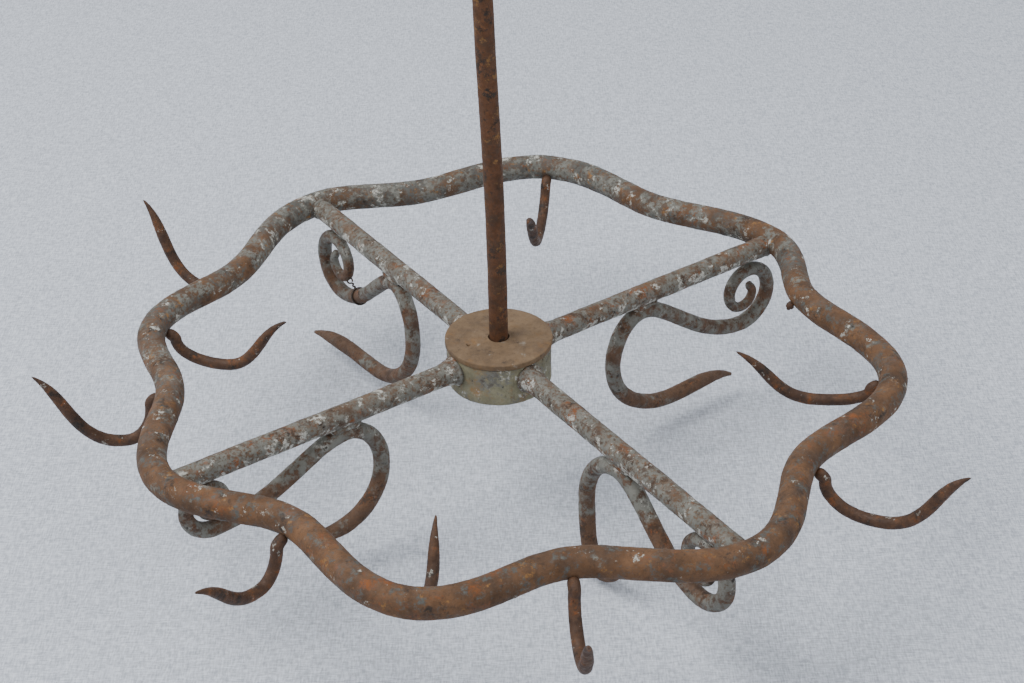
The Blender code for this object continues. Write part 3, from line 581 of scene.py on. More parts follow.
class Bench:
    """Shared tools: finishes by name, and the node groups that forge and weather a mesh."""

    SOCKETS = (("Sides", "NodeSocketInt"), ("Hammer", "NodeSocketFloat"), ("Pit", "NodeSocketFloat"),
               ("Seed", "NodeSocketFloat"), ("Finish", "NodeSocketMaterial"))

    def __init__(self) -> None:
        """Build every finish and both node groups."""
        self.materials = {name: finish.build() for name, finish in FINISHES.items()}
        self.bar_group = self.make_group("forged_bar", swept=True)
        self.skin_group = self.make_group("weathered_skin", swept=False)
        self.seed = 0.0

    def make_group(self, name: str, swept: bool) -> Tree:
        """Node group that sweeps a bar if asked, roughens its skin and sets its finish.

        Args:
            name: name of the group.
            swept: whether it sweeps a bar first.

        Returns:
            The node group.
        """
        group = bpy.data.node_groups.new(name, "GeometryNodeTree")
        face = group.interface
        face.new_socket("Geometry", in_out="INPUT", socket_type="NodeSocketGeometry")
        face.new_socket("Geometry", in_out="OUTPUT", socket_type="NodeSocketGeometry")
        for label, kind in self.SOCKETS:
            face.new_socket(label, in_out="INPUT", socket_type=kind)
        start = group.nodes.new("NodeGroupInput")
        shape = start.outputs["Geometry"]
        if swept:
            shape = self.sweep(group, start, shape)
        shape = self.roughen(group, start, shape, "Hammer", 55.0, 3.0)
        shape = self.roughen(group, start, shape, "Pit", 330.0, 4.0)
        smooth = group.nodes.new("GeometryNodeSetShadeSmooth")
        group.links.new(shape, smooth.inputs["Geometry"])
        realize = group.nodes.new("GeometryNodeRealizeInstances")
        group.links.new(smooth.outputs["Geometry"], realize.inputs["Geometry"])
        paint = group.nodes.new("GeometryNodeSetMaterial")
        group.links.new(realize.outputs["Geometry"], paint.inputs["Geometry"])
        group.links.new(start.outputs["Finish"], paint.inputs["Material"])
        end = group.nodes.new("NodeGroupOutput")
        group.links.new(paint.outputs["Geometry"], end.inputs["Geometry"])
        return group

    @staticmethod
    def sweep(group: Tree, start: bpy.types.Node, shape: Socket) -> Socket:
        """Bar along the path's edges, as thick as its bar_radius attribute says.

        Args:
            group: node group to use or add to.
            start: group input node.
            shape: geometry so far.

        Returns:
            The bar's skin.
        """
        line = group.nodes.new("GeometryNodeMeshToCurve")
        group.links.new(shape, line.inputs["Mesh"])
        circle = group.nodes.new("GeometryNodeCurvePrimitiveCircle")
        circle.inputs["Radius"].default_value = 1.0
        group.links.new(start.outputs["Sides"], circle.inputs["Resolution"])
        radius = group.nodes.new("GeometryNodeInputNamedAttribute")
        radius.data_type = "FLOAT"
        radius.inputs["Name"].default_value = "bar_radius"
        bar = group.nodes.new("GeometryNodeCurveToMesh")
        bar.inputs["Fill Caps"].default_value = True
        group.links.new(line.outputs["Curve"], bar.inputs["Curve"])
        group.links.new(circle.outputs["Curve"], bar.inputs["Profile Curve"])
        group.links.new(radius.outputs["Attribute"], bar.inputs["Scale"])
        return bar.outputs["Mesh"]

    @staticmethod
    def roughen(group: Tree, start: bpy.types.Node, shape: Socket, depth: str, scale: float,
                detail: float) -> Socket:
        """Push the skin in and out along its normal by noise, inwards on the whole.

        Args:
            group: node group to use or add to.
            start: group input node.
            shape: geometry so far.
            depth: name of the input that holds the depth.
            scale: patches of noise per metre.
            detail: octaves of noise.

        Returns:
            The roughened skin.
        """
        place = group.nodes.new("GeometryNodeInputPosition")
        texture = group.nodes.new("ShaderNodeTexNoise")
        texture.noise_dimensions = "4D"
        texture.inputs["Scale"].default_value = scale
        texture.inputs["Detail"].default_value = detail
        group.links.new(place.outputs["Position"], texture.inputs["Vector"])
        group.links.new(start.outputs["Seed"], texture.inputs["W"])
        centred = math_node(group, "SUBTRACT", texture.outputs["Fac"], 0.55)
        height = math_node(group, "MULTIPLY", centred, start.outputs[depth])
        normal = group.nodes.new("GeometryNodeInputNormal")
        push = group.nodes.new("ShaderNodeVectorMath")
        push.operation = "SCALE"
        group.links.new(normal.outputs["Normal"], push.inputs[0])
        group.links.new(height, push.inputs["Scale"])
        move = group.nodes.new("GeometryNodeSetPosition")
        group.links.new(shape, move.inputs["Geometry"])
        group.links.new(push.outputs["Vector"], move.inputs["Offset"])
        return move.outputs["Geometry"]

    def finish_mesh(self, name: str, mesh: bpy.types.Mesh, group: Tree, finish: str,
                    sides: int, hammer: float, pit: float) -> bpy.types.Object:
        """Run a node group over a mesh and keep the result as a plain mesh.

        Args:
            name: name of the new piece.
            mesh: mesh to work on.
            group: node group to run.
            finish: name of the finish.
            sides: sides of the round.
            hammer: depth of the hammer marks, in metres.
            pit: depth of the pits, in metres.

        Returns:
            The finished piece.
        """
        self.seed += NODE_SEED_STEP
        item = bpy.data.objects.new(name, mesh)
        bpy.context.scene.collection.objects.link(item)
        modifier = item.modifiers.new(group.name, "NODES")
        modifier.node_group = group
        values = {"Sides": sides, "Hammer": hammer, "Pit": pit, "Seed": self.seed,
                  "Finish": self.materials[finish]}
        for socket in group.interface.items_tree:
            if socket.in_out == "INPUT" and socket.name in values:
                modifier[socket.identifier] = values[socket.name]
        bpy.context.view_layer.update()
        graph = bpy.context.evaluated_depsgraph_get()
        result = bpy.data.meshes.new_from_object(item.evaluated_get(graph), depsgraph=graph)
        item.modifiers.remove(modifier)
        item.data = result
        bpy.data.meshes.remove(mesh)
        return item

    def bar(self, name: str, path: list[Vector], radii: list[float], finish: str, closed: bool = False,
            sides: int = 28, hammer: float = 0.0011, pit: float = 0.0006) -> bpy.types.Object:
        """Forge a round bar along a path.

        Args:
            name: name of the new piece.
            path: points of the bar's centre.
            radii: radius at each point.
            finish: name of the finish.
            closed: whether it runs back to its start.
            sides: sides of the round.
            hammer: depth of the hammer marks, in metres.
            pit: depth of the pits, in metres.

        Returns:
            The finished piece.
        """
        mesh = bpy.data.meshes.new(name + "_path")
        count = len(path)
        edges = [(index, index + 1) for index in range(count - 1)]
        if closed:
            edges.append((count - 1, 0))
        mesh.from_pydata([tuple(point) for point in path], edges, [])
        attribute = mesh.attributes.new("bar_radius", "FLOAT", "POINT")
        attribute.data.foreach_set("value", radii)
        return self.finish_mesh(name, mesh, self.bar_group, finish, sides, hammer, pit)

    def lathe(self, name: str, profile: Profile, finish: str, turn: Matrix,
              closed: bool = True, hammer: float = 0.0006, pit: float = 0.0004) -> bpy.types.Object:
        """Turn a softened profile about an axis.

        Args:
            name: name of the new piece.
            profile: (radius, height) points.
            finish: name of the finish.
            turn: transform from the lathe to the frame.
            closed: whether it runs back to its start.
            hammer: depth of the hammer marks, in metres.
            pit: depth of the pits, in metres.

        Returns:
            The finished piece.
        """
        outline = refine(soften(profile, closed), closed)
        mesh = turned_mesh(name, outline, closed)
        mesh.transform(turn)
        return self.finish_mesh(name, mesh, self.skin_group, finish, 3, hammer, pit)

    def softened(self, name: str, source: bpy.types.Object, finish: str, width: float) -> bpy.types.Object:
        """Copy a CAD piece, round its edges and weather its skin.

        Args:
            name: name of the new piece.
            source: CAD piece to copy.
            finish: name of the finish.
            width: width of the rounding, in metres.

        Returns:
            The finished piece.
        """
        shape = bmesh.new()
        shape.from_mesh(source.data)
        bmesh.ops.remove_doubles(shape, verts=shape.verts[:], dist=1e-5)
        bmesh.ops.dissolve_limit(shape, angle_limit=math.radians(1.0), verts=shape.verts[:],
                                 edges=shape.edges[:])
        sharp = [edge for edge in shape.edges
                 if len(edge.link_faces) == 2 and edge.calc_face_angle() > math.radians(35.0)]
        bmesh.ops.bevel(shape, geom=sharp, offset=width, segments=3, profile=0.5, affect="EDGES",
                        clamp_overlap=True)
        bmesh.ops.triangulate(shape, faces=shape.faces[:])
        mesh = bpy.data.meshes.new(name)
        shape.to_mesh(mesh)
        shape.free()
        item = self.finish_mesh(name, mesh, self.skin_group, finish, 3, 0.0, 0.0)
        item.data.set_sharp_from_angle(angle=math.radians(50.0))
        return item


def soften(profile: Profile, closed: bool, radius: float = 0.0009, steps: int = 3) -> list[Vector]:
    """Round each corner of a profile that isn't on the axis.

    Args:
        profile: (radius, height) points.
        closed: whether it runs back to its start.
        radius: longest cut beside a corner, in metres.
        steps: number of stations.

    Returns:
        The rounded profile.
    """
    points = []
    count = len(profile)
    for index, point in enumerate(profile):
        here = Vector(point)
        if not closed and index in (0, count - 1):
            points.append(here)
            continue
        before = Vector(profile[index - 1]) - here
        after = Vector(profile[(index + 1) % count]) - here
        cut = min(radius, 0.35 * before.length, 0.35 * after.length)
        first = here + before.normalized() * cut
        last = here + after.normalized() * cut
        for station in range(steps + 1):
            share = station / steps
            points.append(first * (1 - share) ** 2 + here * (2 * share * (1 - share)) + last * share**2)
    return points


def refine(points: list[Vector], closed: bool, length: float = 0.0016) -> list[Vector]:
    """Cut long stretches of a profile into short ones.

    Args:
        points: points of the profile.
        closed: whether it runs back to its start.
        length: longest stretch kept, in metres.

    Returns:
        The profile in short stretches.
    """
    result = []
    count = len(points)
    for index, point in enumerate(points):
        result.append(point)
        if index < count - 1 or closed:
            span = points[(index + 1) % count] - point
            cuts = int(span.length / length)
            result += [point + span * (cut / (cuts + 1)) for cut in range(1, cuts + 1)]
    return result


def turned_mesh(name: str, outline: list[Vector], closed: bool, sides: int = 128) -> bpy.types.Mesh:
    """Solid of revolution about Z from (radius, height) points, poles at radius nought.

    Args:
        name: name of the new piece.
        outline: points of the flat outline.
        closed: whether it runs back to its start.
        sides: sides of the round.

    Returns:
        The mesh.
    """
    shape = bmesh.new()
    rings = []
    for point in outline:
        if point.x < 1e-7:
            rings.append([shape.verts.new((0.0, 0.0, point.y))])
            continue
        rings.append([
            shape.verts.new((point.x * math.cos(math.tau * corner / sides),
                             point.x * math.sin(math.tau * corner / sides), point.y))
            for corner in range(sides)
        ])
    pairs = list(zip(rings, rings[1:]))
    if closed:
        pairs.append((rings[-1], rings[0]))
    for lower, upper in pairs:
        for index in range(sides):
            corners = [lower[index % len(lower)], lower[(index + 1) % sides % len(lower)],
                       upper[(index + 1) % sides % len(upper)], upper[index % len(upper)]]
            unique = list(dict.fromkeys(corners))
            if len(unique) > 2:
                shape.faces.new(unique)
    bmesh.ops.recalc_face_normals(shape, faces=shape.faces[:])
    mesh = bpy.data.meshes.new(name)
    shape.to_mesh(mesh)
    shape.free()
    return mesh


# ---------------------------------------------------------------- paths


def compass(bearing: float) -> Vector:
    """Unit vector of a bearing, counted anticlockwise from +X."""
    return Vector((math.cos(math.radians(bearing)), math.sin(math.radians(bearing)), 0.0))


def curve_run(start: Vector, first: Vector, second: Vector, end: Vector, steps: int) -> list[Vector]:
    """Points of a cubic curve after its start.

    Args:
        start: start point.
        first: first handle.
        second: second handle.
        end: end point.
        steps: number of stations.

    Returns:
        The points.
    """
    points = []
    for index in range(1, steps + 1):
        t = index / steps
        s = 1.0 - t
        points.append(start * s**3 + first * (3 * s * s * t) + second * (3 * s * t * t) + end * t**3)
    return points


def arc_radii(path: list[Vector], full: float, start_end: float, finish_end: float,
              start_taper: float, finish_taper: float) -> list[float]:
    """Radii along a bar with rounded ends: each end narrows over its own length.

    Args:
        path: points of the bar's centre.
        full: radius of the bar.
        start_end: radius at its start.
        finish_end: radius at its end.
        start_taper: length of the narrowing at its start.
        finish_taper: length of the narrowing at its end.

    Returns:
        The radius at each point.
    """
    lengths = [0.0]
    for before, after in zip(path, path[1:]):
        lengths.append(lengths[-1] + (after - before).length)
    radii = []
    for length in lengths:
        radius = full
        for left, end, taper in ((length, start_end, start_taper),
                                 (lengths[-1] - length, finish_end, finish_taper)):
            if left < taper:
                radius = min(radius, end + (full - end) * math.sin(0.5 * math.pi * left / taper))
        for left, end in ((length, start_end), (lengths[-1] - length, finish_end)):
            if left < end:
                radius = min(radius, max(0.0002, math.sqrt(max(0.0, end**2 - (end - left) ** 2))))
        radii.append(radius)
    return radii


def with_end_cap(path: list[Vector], radius: float, at_start: bool) -> list[Vector]:
    """Extra stations close to an end, so that its rounding is smooth.

    Args:
        path: points of the bar's centre.
        radius: radius at that end.
        at_start: whether the start is rounded, not the end.

    Returns:
        The path with its extra stations.
    """
    points = path[::-1] if at_start else list(path)
    last = points[-1]
    back = (points[-2] - last).normalized()
    near = [last + back * radius * share for share in (1.0, 0.6, 0.3, 0.1)]
    kept = [point for point in points[:-1] if (point - last).length > radius * 1.1]
    points = kept + near + [last]
    return points[::-1] if at_start else points


def across(bearing: float) -> Vector:
    """Level unit vector a quarter turn anticlockwise from a bearing."""
    return Vector((-compass(bearing).y, compass(bearing).x, 0.0))


def stand_up(outline: list[Vector], bearing: float, base: float, out: int, skew: float,
             lean: float) -> list[Vector]:
    """Place a flat outline in the upright plane of a bearing, at the ring's level.

    Args:
        outline: points of the flat outline.
        bearing: bearing of the plane, in degrees.
        base: distance from the rod to the outline's origin.
        out: 1 to face outwards, -1 inwards.
        skew: sideways shift at its first point.
        lean: sideways shift at its last point.

    Returns:
        The points in space.
    """
    forward = compass(bearing)
    sideways = across(bearing)
    path = []
    for index, point in enumerate(outline):
        share = index / (len(outline) - 1)
        aside = skew * (1.0 - share) ** 2 + lean * share**2
        rise = Vector((0.0, 0.0, RING_LEVEL + point.y))
        path.append(forward * (base + out * point.x) + sideways * aside + rise)
    return path


def weld_bead(bench: Bench, name: str, path: list[Vector], radius: float, finish: str,
              closed: bool = False) -> bpy.types.Object:
    """Lumpy bead of weld or scale.

    Args:
        bench: shared tools.
        name: name of the new piece.
        path: points of the bar's centre.
        radius: radius of the bead, in metres.
        finish: name of the finish.
        closed: whether it runs back to its start.

    Returns:
        The bead.
    """
    radii = [radius] * len(path) if closed else arc_radii(path, radius, radius * 0.4, radius * 0.4,
                                                          0.006, 0.006)
    return bench.bar(name, path, radii, finish, closed, 14, 0.0028, 0.0009)


def circle_path(centre: Vector, first: Vector, second: Vector, radius: float, steps: int) -> list[Vector]:
    """Closed circle spanned by two directions."""
    return [centre + (first * math.cos(math.tau * index / steps)
                      + second * math.sin(math.tau * index / steps)) * radius for index in range(steps)]


# ---------------------------------------------------------------- sub-assemblies


@dataclass
class Assembly:
    """A group of pieces that ride on one body."""

    bench: Bench
    body: str
    pieces: list[bpy.types.Object] = field(default_factory=list)

    def keep(self, item: bpy.types.Object, slot: str, *nodes: str) -> bpy.types.Object:
        """Tie a piece to its body and hide the CAD nodes it stands for.

        Args:
            item: piece to tie.
            slot: name of its finish slot; not used.
            *nodes: CAD nodes that it stands for.

        Returns:
            The same piece.
        """
        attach(item, self.body)
        if nodes:
            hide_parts(*nodes)
        self.pieces.append(item)
        LOG.info("%s: %d faces", item.name, len(item.data.polygons))
        return item


@dataclass
class LobedRing(Assembly):
    """The wavy ring, with the stub of a lost hook."""

    stations: int = 36

    def path(self) -> list[Vector]:
        """Bar's centre, lobe by lobe.

        Returns:
            The points in space.
        """
        points = []
        for index, lobe in enumerate(LOBES):
            following = LOBES[(index + 1) % len(LOBES)]
            turn = (following.bearing - lobe.bearing) % 360.0
            for station in range(self.stations):
                share = station / self.stations
                ease = 0.5 - 0.5 * math.cos(math.pi * share)
                reach = lobe.reach + (following.reach - lobe.reach) * ease
                points.append(compass(lobe.bearing + turn * share) * reach + RING_CENTRE)
        return points

    def build(self) -> None:
        """Forge the ring and its stub."""
        path = self.path()
        ring = self.bench.bar("lobed_ring", path, [RING_BAR] * len(path), "rusted_ring", True, 40,
                              0.0014, 0.0007)
        self.keep(ring, "rusted_ring", "ring")
        lobe = LOBES[STUB_LOBE]
        inward = -compass(lobe.bearing)
        root = compass(lobe.bearing) * lobe.reach + Vector((0, 0, RING_LEVEL - 0.004)) + inward * 0.007
        path = curve_run(root, root + inward * 0.003, root + inward * 0.005 - Vector((0, 0, 0.002)),
                         root + inward * 0.0055 - Vector((0, 0, 0.005)), 12)
        stub = self.bench.bar("hook_stub", path, arc_radii(path, 0.0030, 0.002, 0.0015, 0.002, 0.004),
                              "hook_iron", False, 16)
        self.keep(stub, "hook_iron")


@dataclass
class PointedHooks(Assembly):
    """The pointed hooks, each forge welded into the ring at its root."""

    def outline(self, hook: HookShape) -> list[Vector]:
        """Flat outline: distance from the ring bar's centre, and height.

        Args:
            hook: sizes of the hook.

        Returns:
            The flat outline.
        """
        lap = RING_BAR + HOOK_BAR + GAP + SKEW_STAND * abs(hook.skew)
        turn = Vector((lap, HOOK_LAP - ROOT_TURN))
        low = Vector((hook.throat, -hook.drop))
        tip = Vector((hook.reach, hook.rise))
        fall = turn.y - low.y
        span = tip.x - low.x
        flare = Vector((math.cos(math.radians(hook.flare)), math.sin(math.radians(hook.flare))))
        root = Vector((ROOT_INSET, -ROOT_DROP))
        points = curve_run(root, root + Vector((0.35 * (lap - ROOT_INSET), -0.2 * (lap - ROOT_INSET))),
                           turn + Vector((0, 0.4 * (lap - ROOT_INSET))), turn, 12)
        points += curve_run(turn, turn - Vector((0, ELLIPSE * fall)),
                            low - Vector((ELLIPSE * (low.x - turn.x), 0)), low, 34)
        points += curve_run(low, low + Vector((hook.sag * span, 0)), tip - flare * 0.5 * span, tip, 46)
        return points

    def build(self) -> None:
        """Forge each hook from its root inside the ring to its tip."""
        for hook in HOOKS:
            lobe = LOBES[hook.lobe]
            path = stand_up(self.outline(hook), lobe.bearing, lobe.reach, hook.side.value, hook.skew,
                            hook.lean)
            path = with_end_cap(path, HOOK_BAR, True)
            radii = arc_radii(path, HOOK_BAR, HOOK_BAR, 0.0007, 0.0, 0.034)
            item = self.bench.bar("forged_" + hook.name, path, radii, "hook_iron", False, 24, 0.0008, 0.0005)
            self.keep(item, "hook_iron", hook.name)


@dataclass
class Spokes(Assembly):
    """The four spokes, their shoulders and the beads at both ends."""

    def height(self, spoke: SpokeShape, reach: float) -> float:
        """Height of a spoke's centre below the ring's plane."""
        return SPOKE_LEVEL - spoke.droop / LOBES[spoke.lobe].reach * reach

    def point(self, spoke: SpokeShape, reach: float) -> Vector:
        """Spoke's centre at a distance from the rod."""
        return (compass(LOBES[spoke.lobe].bearing) * reach
                + Vector((0, 0, RING_LEVEL + self.height(spoke, reach))))

    def build(self) -> None:
        """Forge each spoke from the drum's wall into the ring."""
        for spoke in SPOKES:
            reach = LOBES[spoke.lobe].reach
            start = DRUM_RADIUS - 0.003
            steps = 150
            path = []
            radii = []
            for index in range(steps + 1):
                place = start + (reach - 0.004 - start) * index / steps
                swell = min(1.0, max(0.0, 1.0 - (place - DRUM_RADIUS) / SHOULDER_LENGTH))
                swell = swell * swell * (3.0 - 2.0 * swell)
                path.append(self.point(spoke, place))
                radii.append(SPOKE_BAR + (SHOULDER_RADIUS - SPOKE_BAR) * swell)
            bar = self.bench.bar("spoke_bar_" + spoke.name, path, radii, "galvanised_spoke", False, 32,
                                 0.0014, 0.0007)
            self.keep(bar, "galvanised_spoke", "spoke_" + spoke.name)
            side = across(LOBES[spoke.lobe].bearing)
            for label, place, size, bead in (("hub_bead_", DRUM_RADIUS + 0.0004, 0.0088, 0.0019),
                                             ("ring_bead_", reach - RING_BAR + 0.0012, 0.0074, 0.0013)):
                joint = circle_path(self.point(spoke, place), side, UP, size, 48)
                item = weld_bead(self.bench, label + spoke.name, joint, bead, "galvanised_spoke", True)
                self.keep(item, "galvanised_spoke")


@dataclass
class ScrollHooks(Assembly):
    """The heavy hooks with scrolled ends, one under each spoke, and the wire tie."""

    coil_steps: int = 110

    def base(self, scroll: ScrollShape) -> float:
        """Distance from the rod to a coil's centre."""
        return LOBES[SPOKES[scroll.spoke].lobe].reach - scroll.inset

    def crest(self, scroll: ScrollShape) -> Vector:
        """Highest point of the bar's centre, under the spoke.

        Args:
            scroll: sizes of the scroll hook.

        Returns:
            The point, flat.
        """
        spoke = SPOKES[scroll.spoke]
        slope = spoke.droop / LOBES[spoke.lobe].reach
        under = SPOKE_LEVEL - slope * (self.base(scroll) + scroll.crest)
        return Vector((scroll.crest, under - SPOKE_BAR - SCROLL_BAR - GAP))

    def runs(self, scroll: ScrollShape) -> tuple[list[Vector], list[Vector]]:
        """Flat outline in two runs: tip to crest, and crest into the coil.

        Args:
            scroll: sizes of the scroll hook.

        Returns:
            The two runs.
        """
        crest = self.crest(scroll)
        back = Vector((scroll.back, 0.45 * crest.y - 0.45 * scroll.drop))
        low = Vector((scroll.throat, -scroll.drop))
        tip = Vector((scroll.tip, -scroll.tip_drop))
        coil = Vector((0.0, -scroll.coil_drop - scroll.coil_radius))
        flare = Vector((math.cos(math.radians(scroll.flare)), math.sin(math.radians(scroll.flare))))
        span = (tip - low).length
        arm = coil.x - crest.x
        lower = curve_run(tip, tip - flare * 0.35 * span, low + Vector((0.4 * span, 0)), low, 40)
        lower += curve_run(low, low - Vector((ELLIPSE * (low.x - back.x), 0)),
                           back - Vector((0, ELLIPSE * (back.y - low.y))), back, 34)
        lower += curve_run(back, back + Vector((0, ELLIPSE * (crest.y - back.y))),
                           crest - Vector((ELLIPSE * (crest.x - back.x), 0)), crest, 26)
        upper = curve_run(crest, crest + Vector((0.25 * arm, 0)), coil - Vector((0.45 * arm, 0)), coil, 50)
        for index in range(1, self.coil_steps + 1):
            share = index / self.coil_steps
            angle = math.radians(-90.0 + COIL_SWEEP * share)
            radius = scroll.coil_radius * (1.0 + (COIL_INNER - 1.0) * share)
            upper.append(Vector((radius * math.cos(angle), radius * math.sin(angle) - scroll.coil_drop)))
        return [tip] + lower, upper

    def path(self, scroll: ScrollShape) -> list[Vector]:
        """Bar's centre in space. Only the part below the crest leans.

        Args:
            scroll: sizes of the scroll hook.

        Returns:
            The points in space.
        """
        lower, upper = self.runs(scroll)
        bearing = LOBES[SPOKES[scroll.spoke].lobe].bearing
        base = self.base(scroll)
        below = stand_up(lower[::-1], bearing, base, 1, 0.0, scroll.lean)[::-1]
        return below + stand_up(upper, bearing, base, 1, 0.0, 0.0)

    def build(self) -> None:
        """Forge the hooks, the welds at their crests and the tie."""
        for scroll in SCROLLS:
            name = SPOKES[scroll.spoke].name
            path = with_end_cap(self.path(scroll), COIL_BAR_END, False)
            radii = arc_radii(path, SCROLL_BAR, 0.0012, COIL_BAR_END, 0.042, 0.150)
            item = self.bench.bar("scroll_" + name, path, radii, "scroll_iron", False, 28, 0.0011, 0.0006)
            self.keep(item, "scroll_iron", "scroll_hook_" + name)
            forward = compass(LOBES[SPOKES[scroll.spoke].lobe].bearing)
            aside = across(LOBES[SPOKES[scroll.spoke].lobe].bearing)
            seat = self.crest(scroll)
            middle = forward * (self.base(scroll) + seat.x) + Vector((0, 0, RING_LEVEL + seat.y + SCROLL_BAR))
            for label, shift in (("a", 0.0030), ("b", -0.0030)):
                line = [middle + aside * shift + forward * (-0.011 + 0.024 * index / 16)
                        for index in range(17)]
                bead = weld_bead(self.bench, f"crest_bead_{name}_{label}", line, 0.0026, "galvanised_spoke")
                self.keep(bead, "galvanised_spoke")
        self.build_tie()

    def build_tie(self) -> None:
        """Two turns of thin wire round one arm, its ends twisted into a standing loop."""
        scroll = SCROLLS[TIE_SCROLL]
        forward = compass(LOBES[SPOKES[scroll.spoke].lobe].bearing)
        side = across(LOBES[SPOKES[scroll.spoke].lobe].bearing)
        path = self.path(scroll)
        first = len(self.runs(scroll)[0])
        arm = range(first, len(path) - self.coil_steps)
        place = self.base(scroll) + TIE_PLACE
        nearest = min(arm, key=lambda index: abs(path[index].dot(forward) - place))
        centre = path[nearest]
        along = (path[nearest + 1] - path[nearest - 1]).normalized()
        rise = side.cross(along)
        if rise.z < 0.0:
            rise = -rise
        loop = SCROLL_BAR + WIRE_BAR
        points = []
        for index in range(97):
            angle = math.radians(100.0 + 700.0 * index / 96)
            drift = along * (-0.0009 + 0.0018 * index / 96)
            points.append(centre + drift + (side * math.cos(angle) + rise * math.sin(angle)) * loop)
        outward = (points[-1] - centre).normalized()
        sweep = outward.cross(along)
        for index in range(1, 25):
            share = index / 24
            twist = math.tau * 2.0 * share
            wobble = (sweep * math.cos(twist) + along * math.sin(twist)) * 0.0006
            points.append(points[96] + outward * 0.0058 * share + wobble)
        eye = points[-1] + outward * 0.0022
        for index in range(1, 30):
            angle = math.radians(-90.0 + 320.0 * index / 29)
            points.append(eye + (sweep * math.cos(angle) + outward * math.sin(angle)) * 0.0022)
        tie = self.bench.bar("twisted_wire", points, [WIRE_BAR] * len(points), "tie_wire", False, 10,
                             0.0, 0.0001)
        self.keep(tie, "tie_wire", "wire_tie")


@dataclass
class Hub(Assembly):
    """Drum and plate that carry the spokes, with the oil hole and the worn lip round the rod."""

    def build(self) -> None:
        """Turn the drum and plate."""
        seat = Matrix.Translation(RING_CENTRE)
        under = PLATE_RISE - PLATE_THICK
        top = under - GAP
        low = top - DRUM_HEIGHT
        bore = DRUM_RADIUS - DRUM_WALL
        drum = [(bore, low), (DRUM_RADIUS, low), (DRUM_RADIUS, top), (bore, top)]
        item = self.bench.lathe("cast_drum", drum, "hub_drum", seat, True, 0.0012, 0.0006)
        self.keep(item, "hub_drum", "hub_drum")
        hole = ROD_BAR + 0.0005
        spigot = bore - 2.0 * GAP
        plate = [(hole, under - SPIGOT_DEPTH), (spigot, under - SPIGOT_DEPTH), (spigot, under),
                 (PLATE_RADIUS, under), (PLATE_RADIUS, PLATE_RISE), (hole, PLATE_RISE)]
        item = self.bench.lathe("hub_cap", plate, "hub_plate", seat, True, 0.0007, 0.0004)
        self.cut_oil_hole(item)
        self.keep(item, "hub_plate", "hub_plate")
        level = Vector((0, 0, PLATE_TOP - 0.0005))
        lip = circle_path(level, Vector((1, 0, 0)), Vector((0, 1, 0)), 0.0080, 64)
        self.keep(weld_bead(self.bench, "worn_lip", lip, 0.0010, "hub_plate", True), "hub_plate")

    def cut_oil_hole(self, plate: bpy.types.Object) -> None:
        """Comma-shaped oil hole, cut part way through the plate.

        Args:
            plate: piece to cut.
        """
        centre = compass(OIL_HOLE_BEARING) * OIL_HOLE_REACH + Vector((0, 0, PLATE_TOP))
        along = compass(OIL_HOLE_BEARING + 55.0)
        tail = [centre + along * (0.0055 * index / 8) + Vector((0, 0, 0.0002 * index)) for index in range(9)]
        radii = [0.0019 - 0.0013 * index / 8 for index in range(9)]
        cutter = self.bench.bar("oil_hole_cutter", tail, radii, "hub_plate", False, 16, 0.0, 0.0)
        cut = plate.modifiers.new("oil_hole", "BOOLEAN")
        cut.operation = "DIFFERENCE"
        cut.solver = "EXACT"
        cut.object = cutter
        bpy.context.view_layer.update()
        graph = bpy.context.evaluated_depsgraph_get()
        result = bpy.data.meshes.new_from_object(plate.evaluated_get(graph), depsgraph=graph)
        plate.modifiers.remove(cut)
        plate.data = result
        bpy.data.objects.remove(cutter)


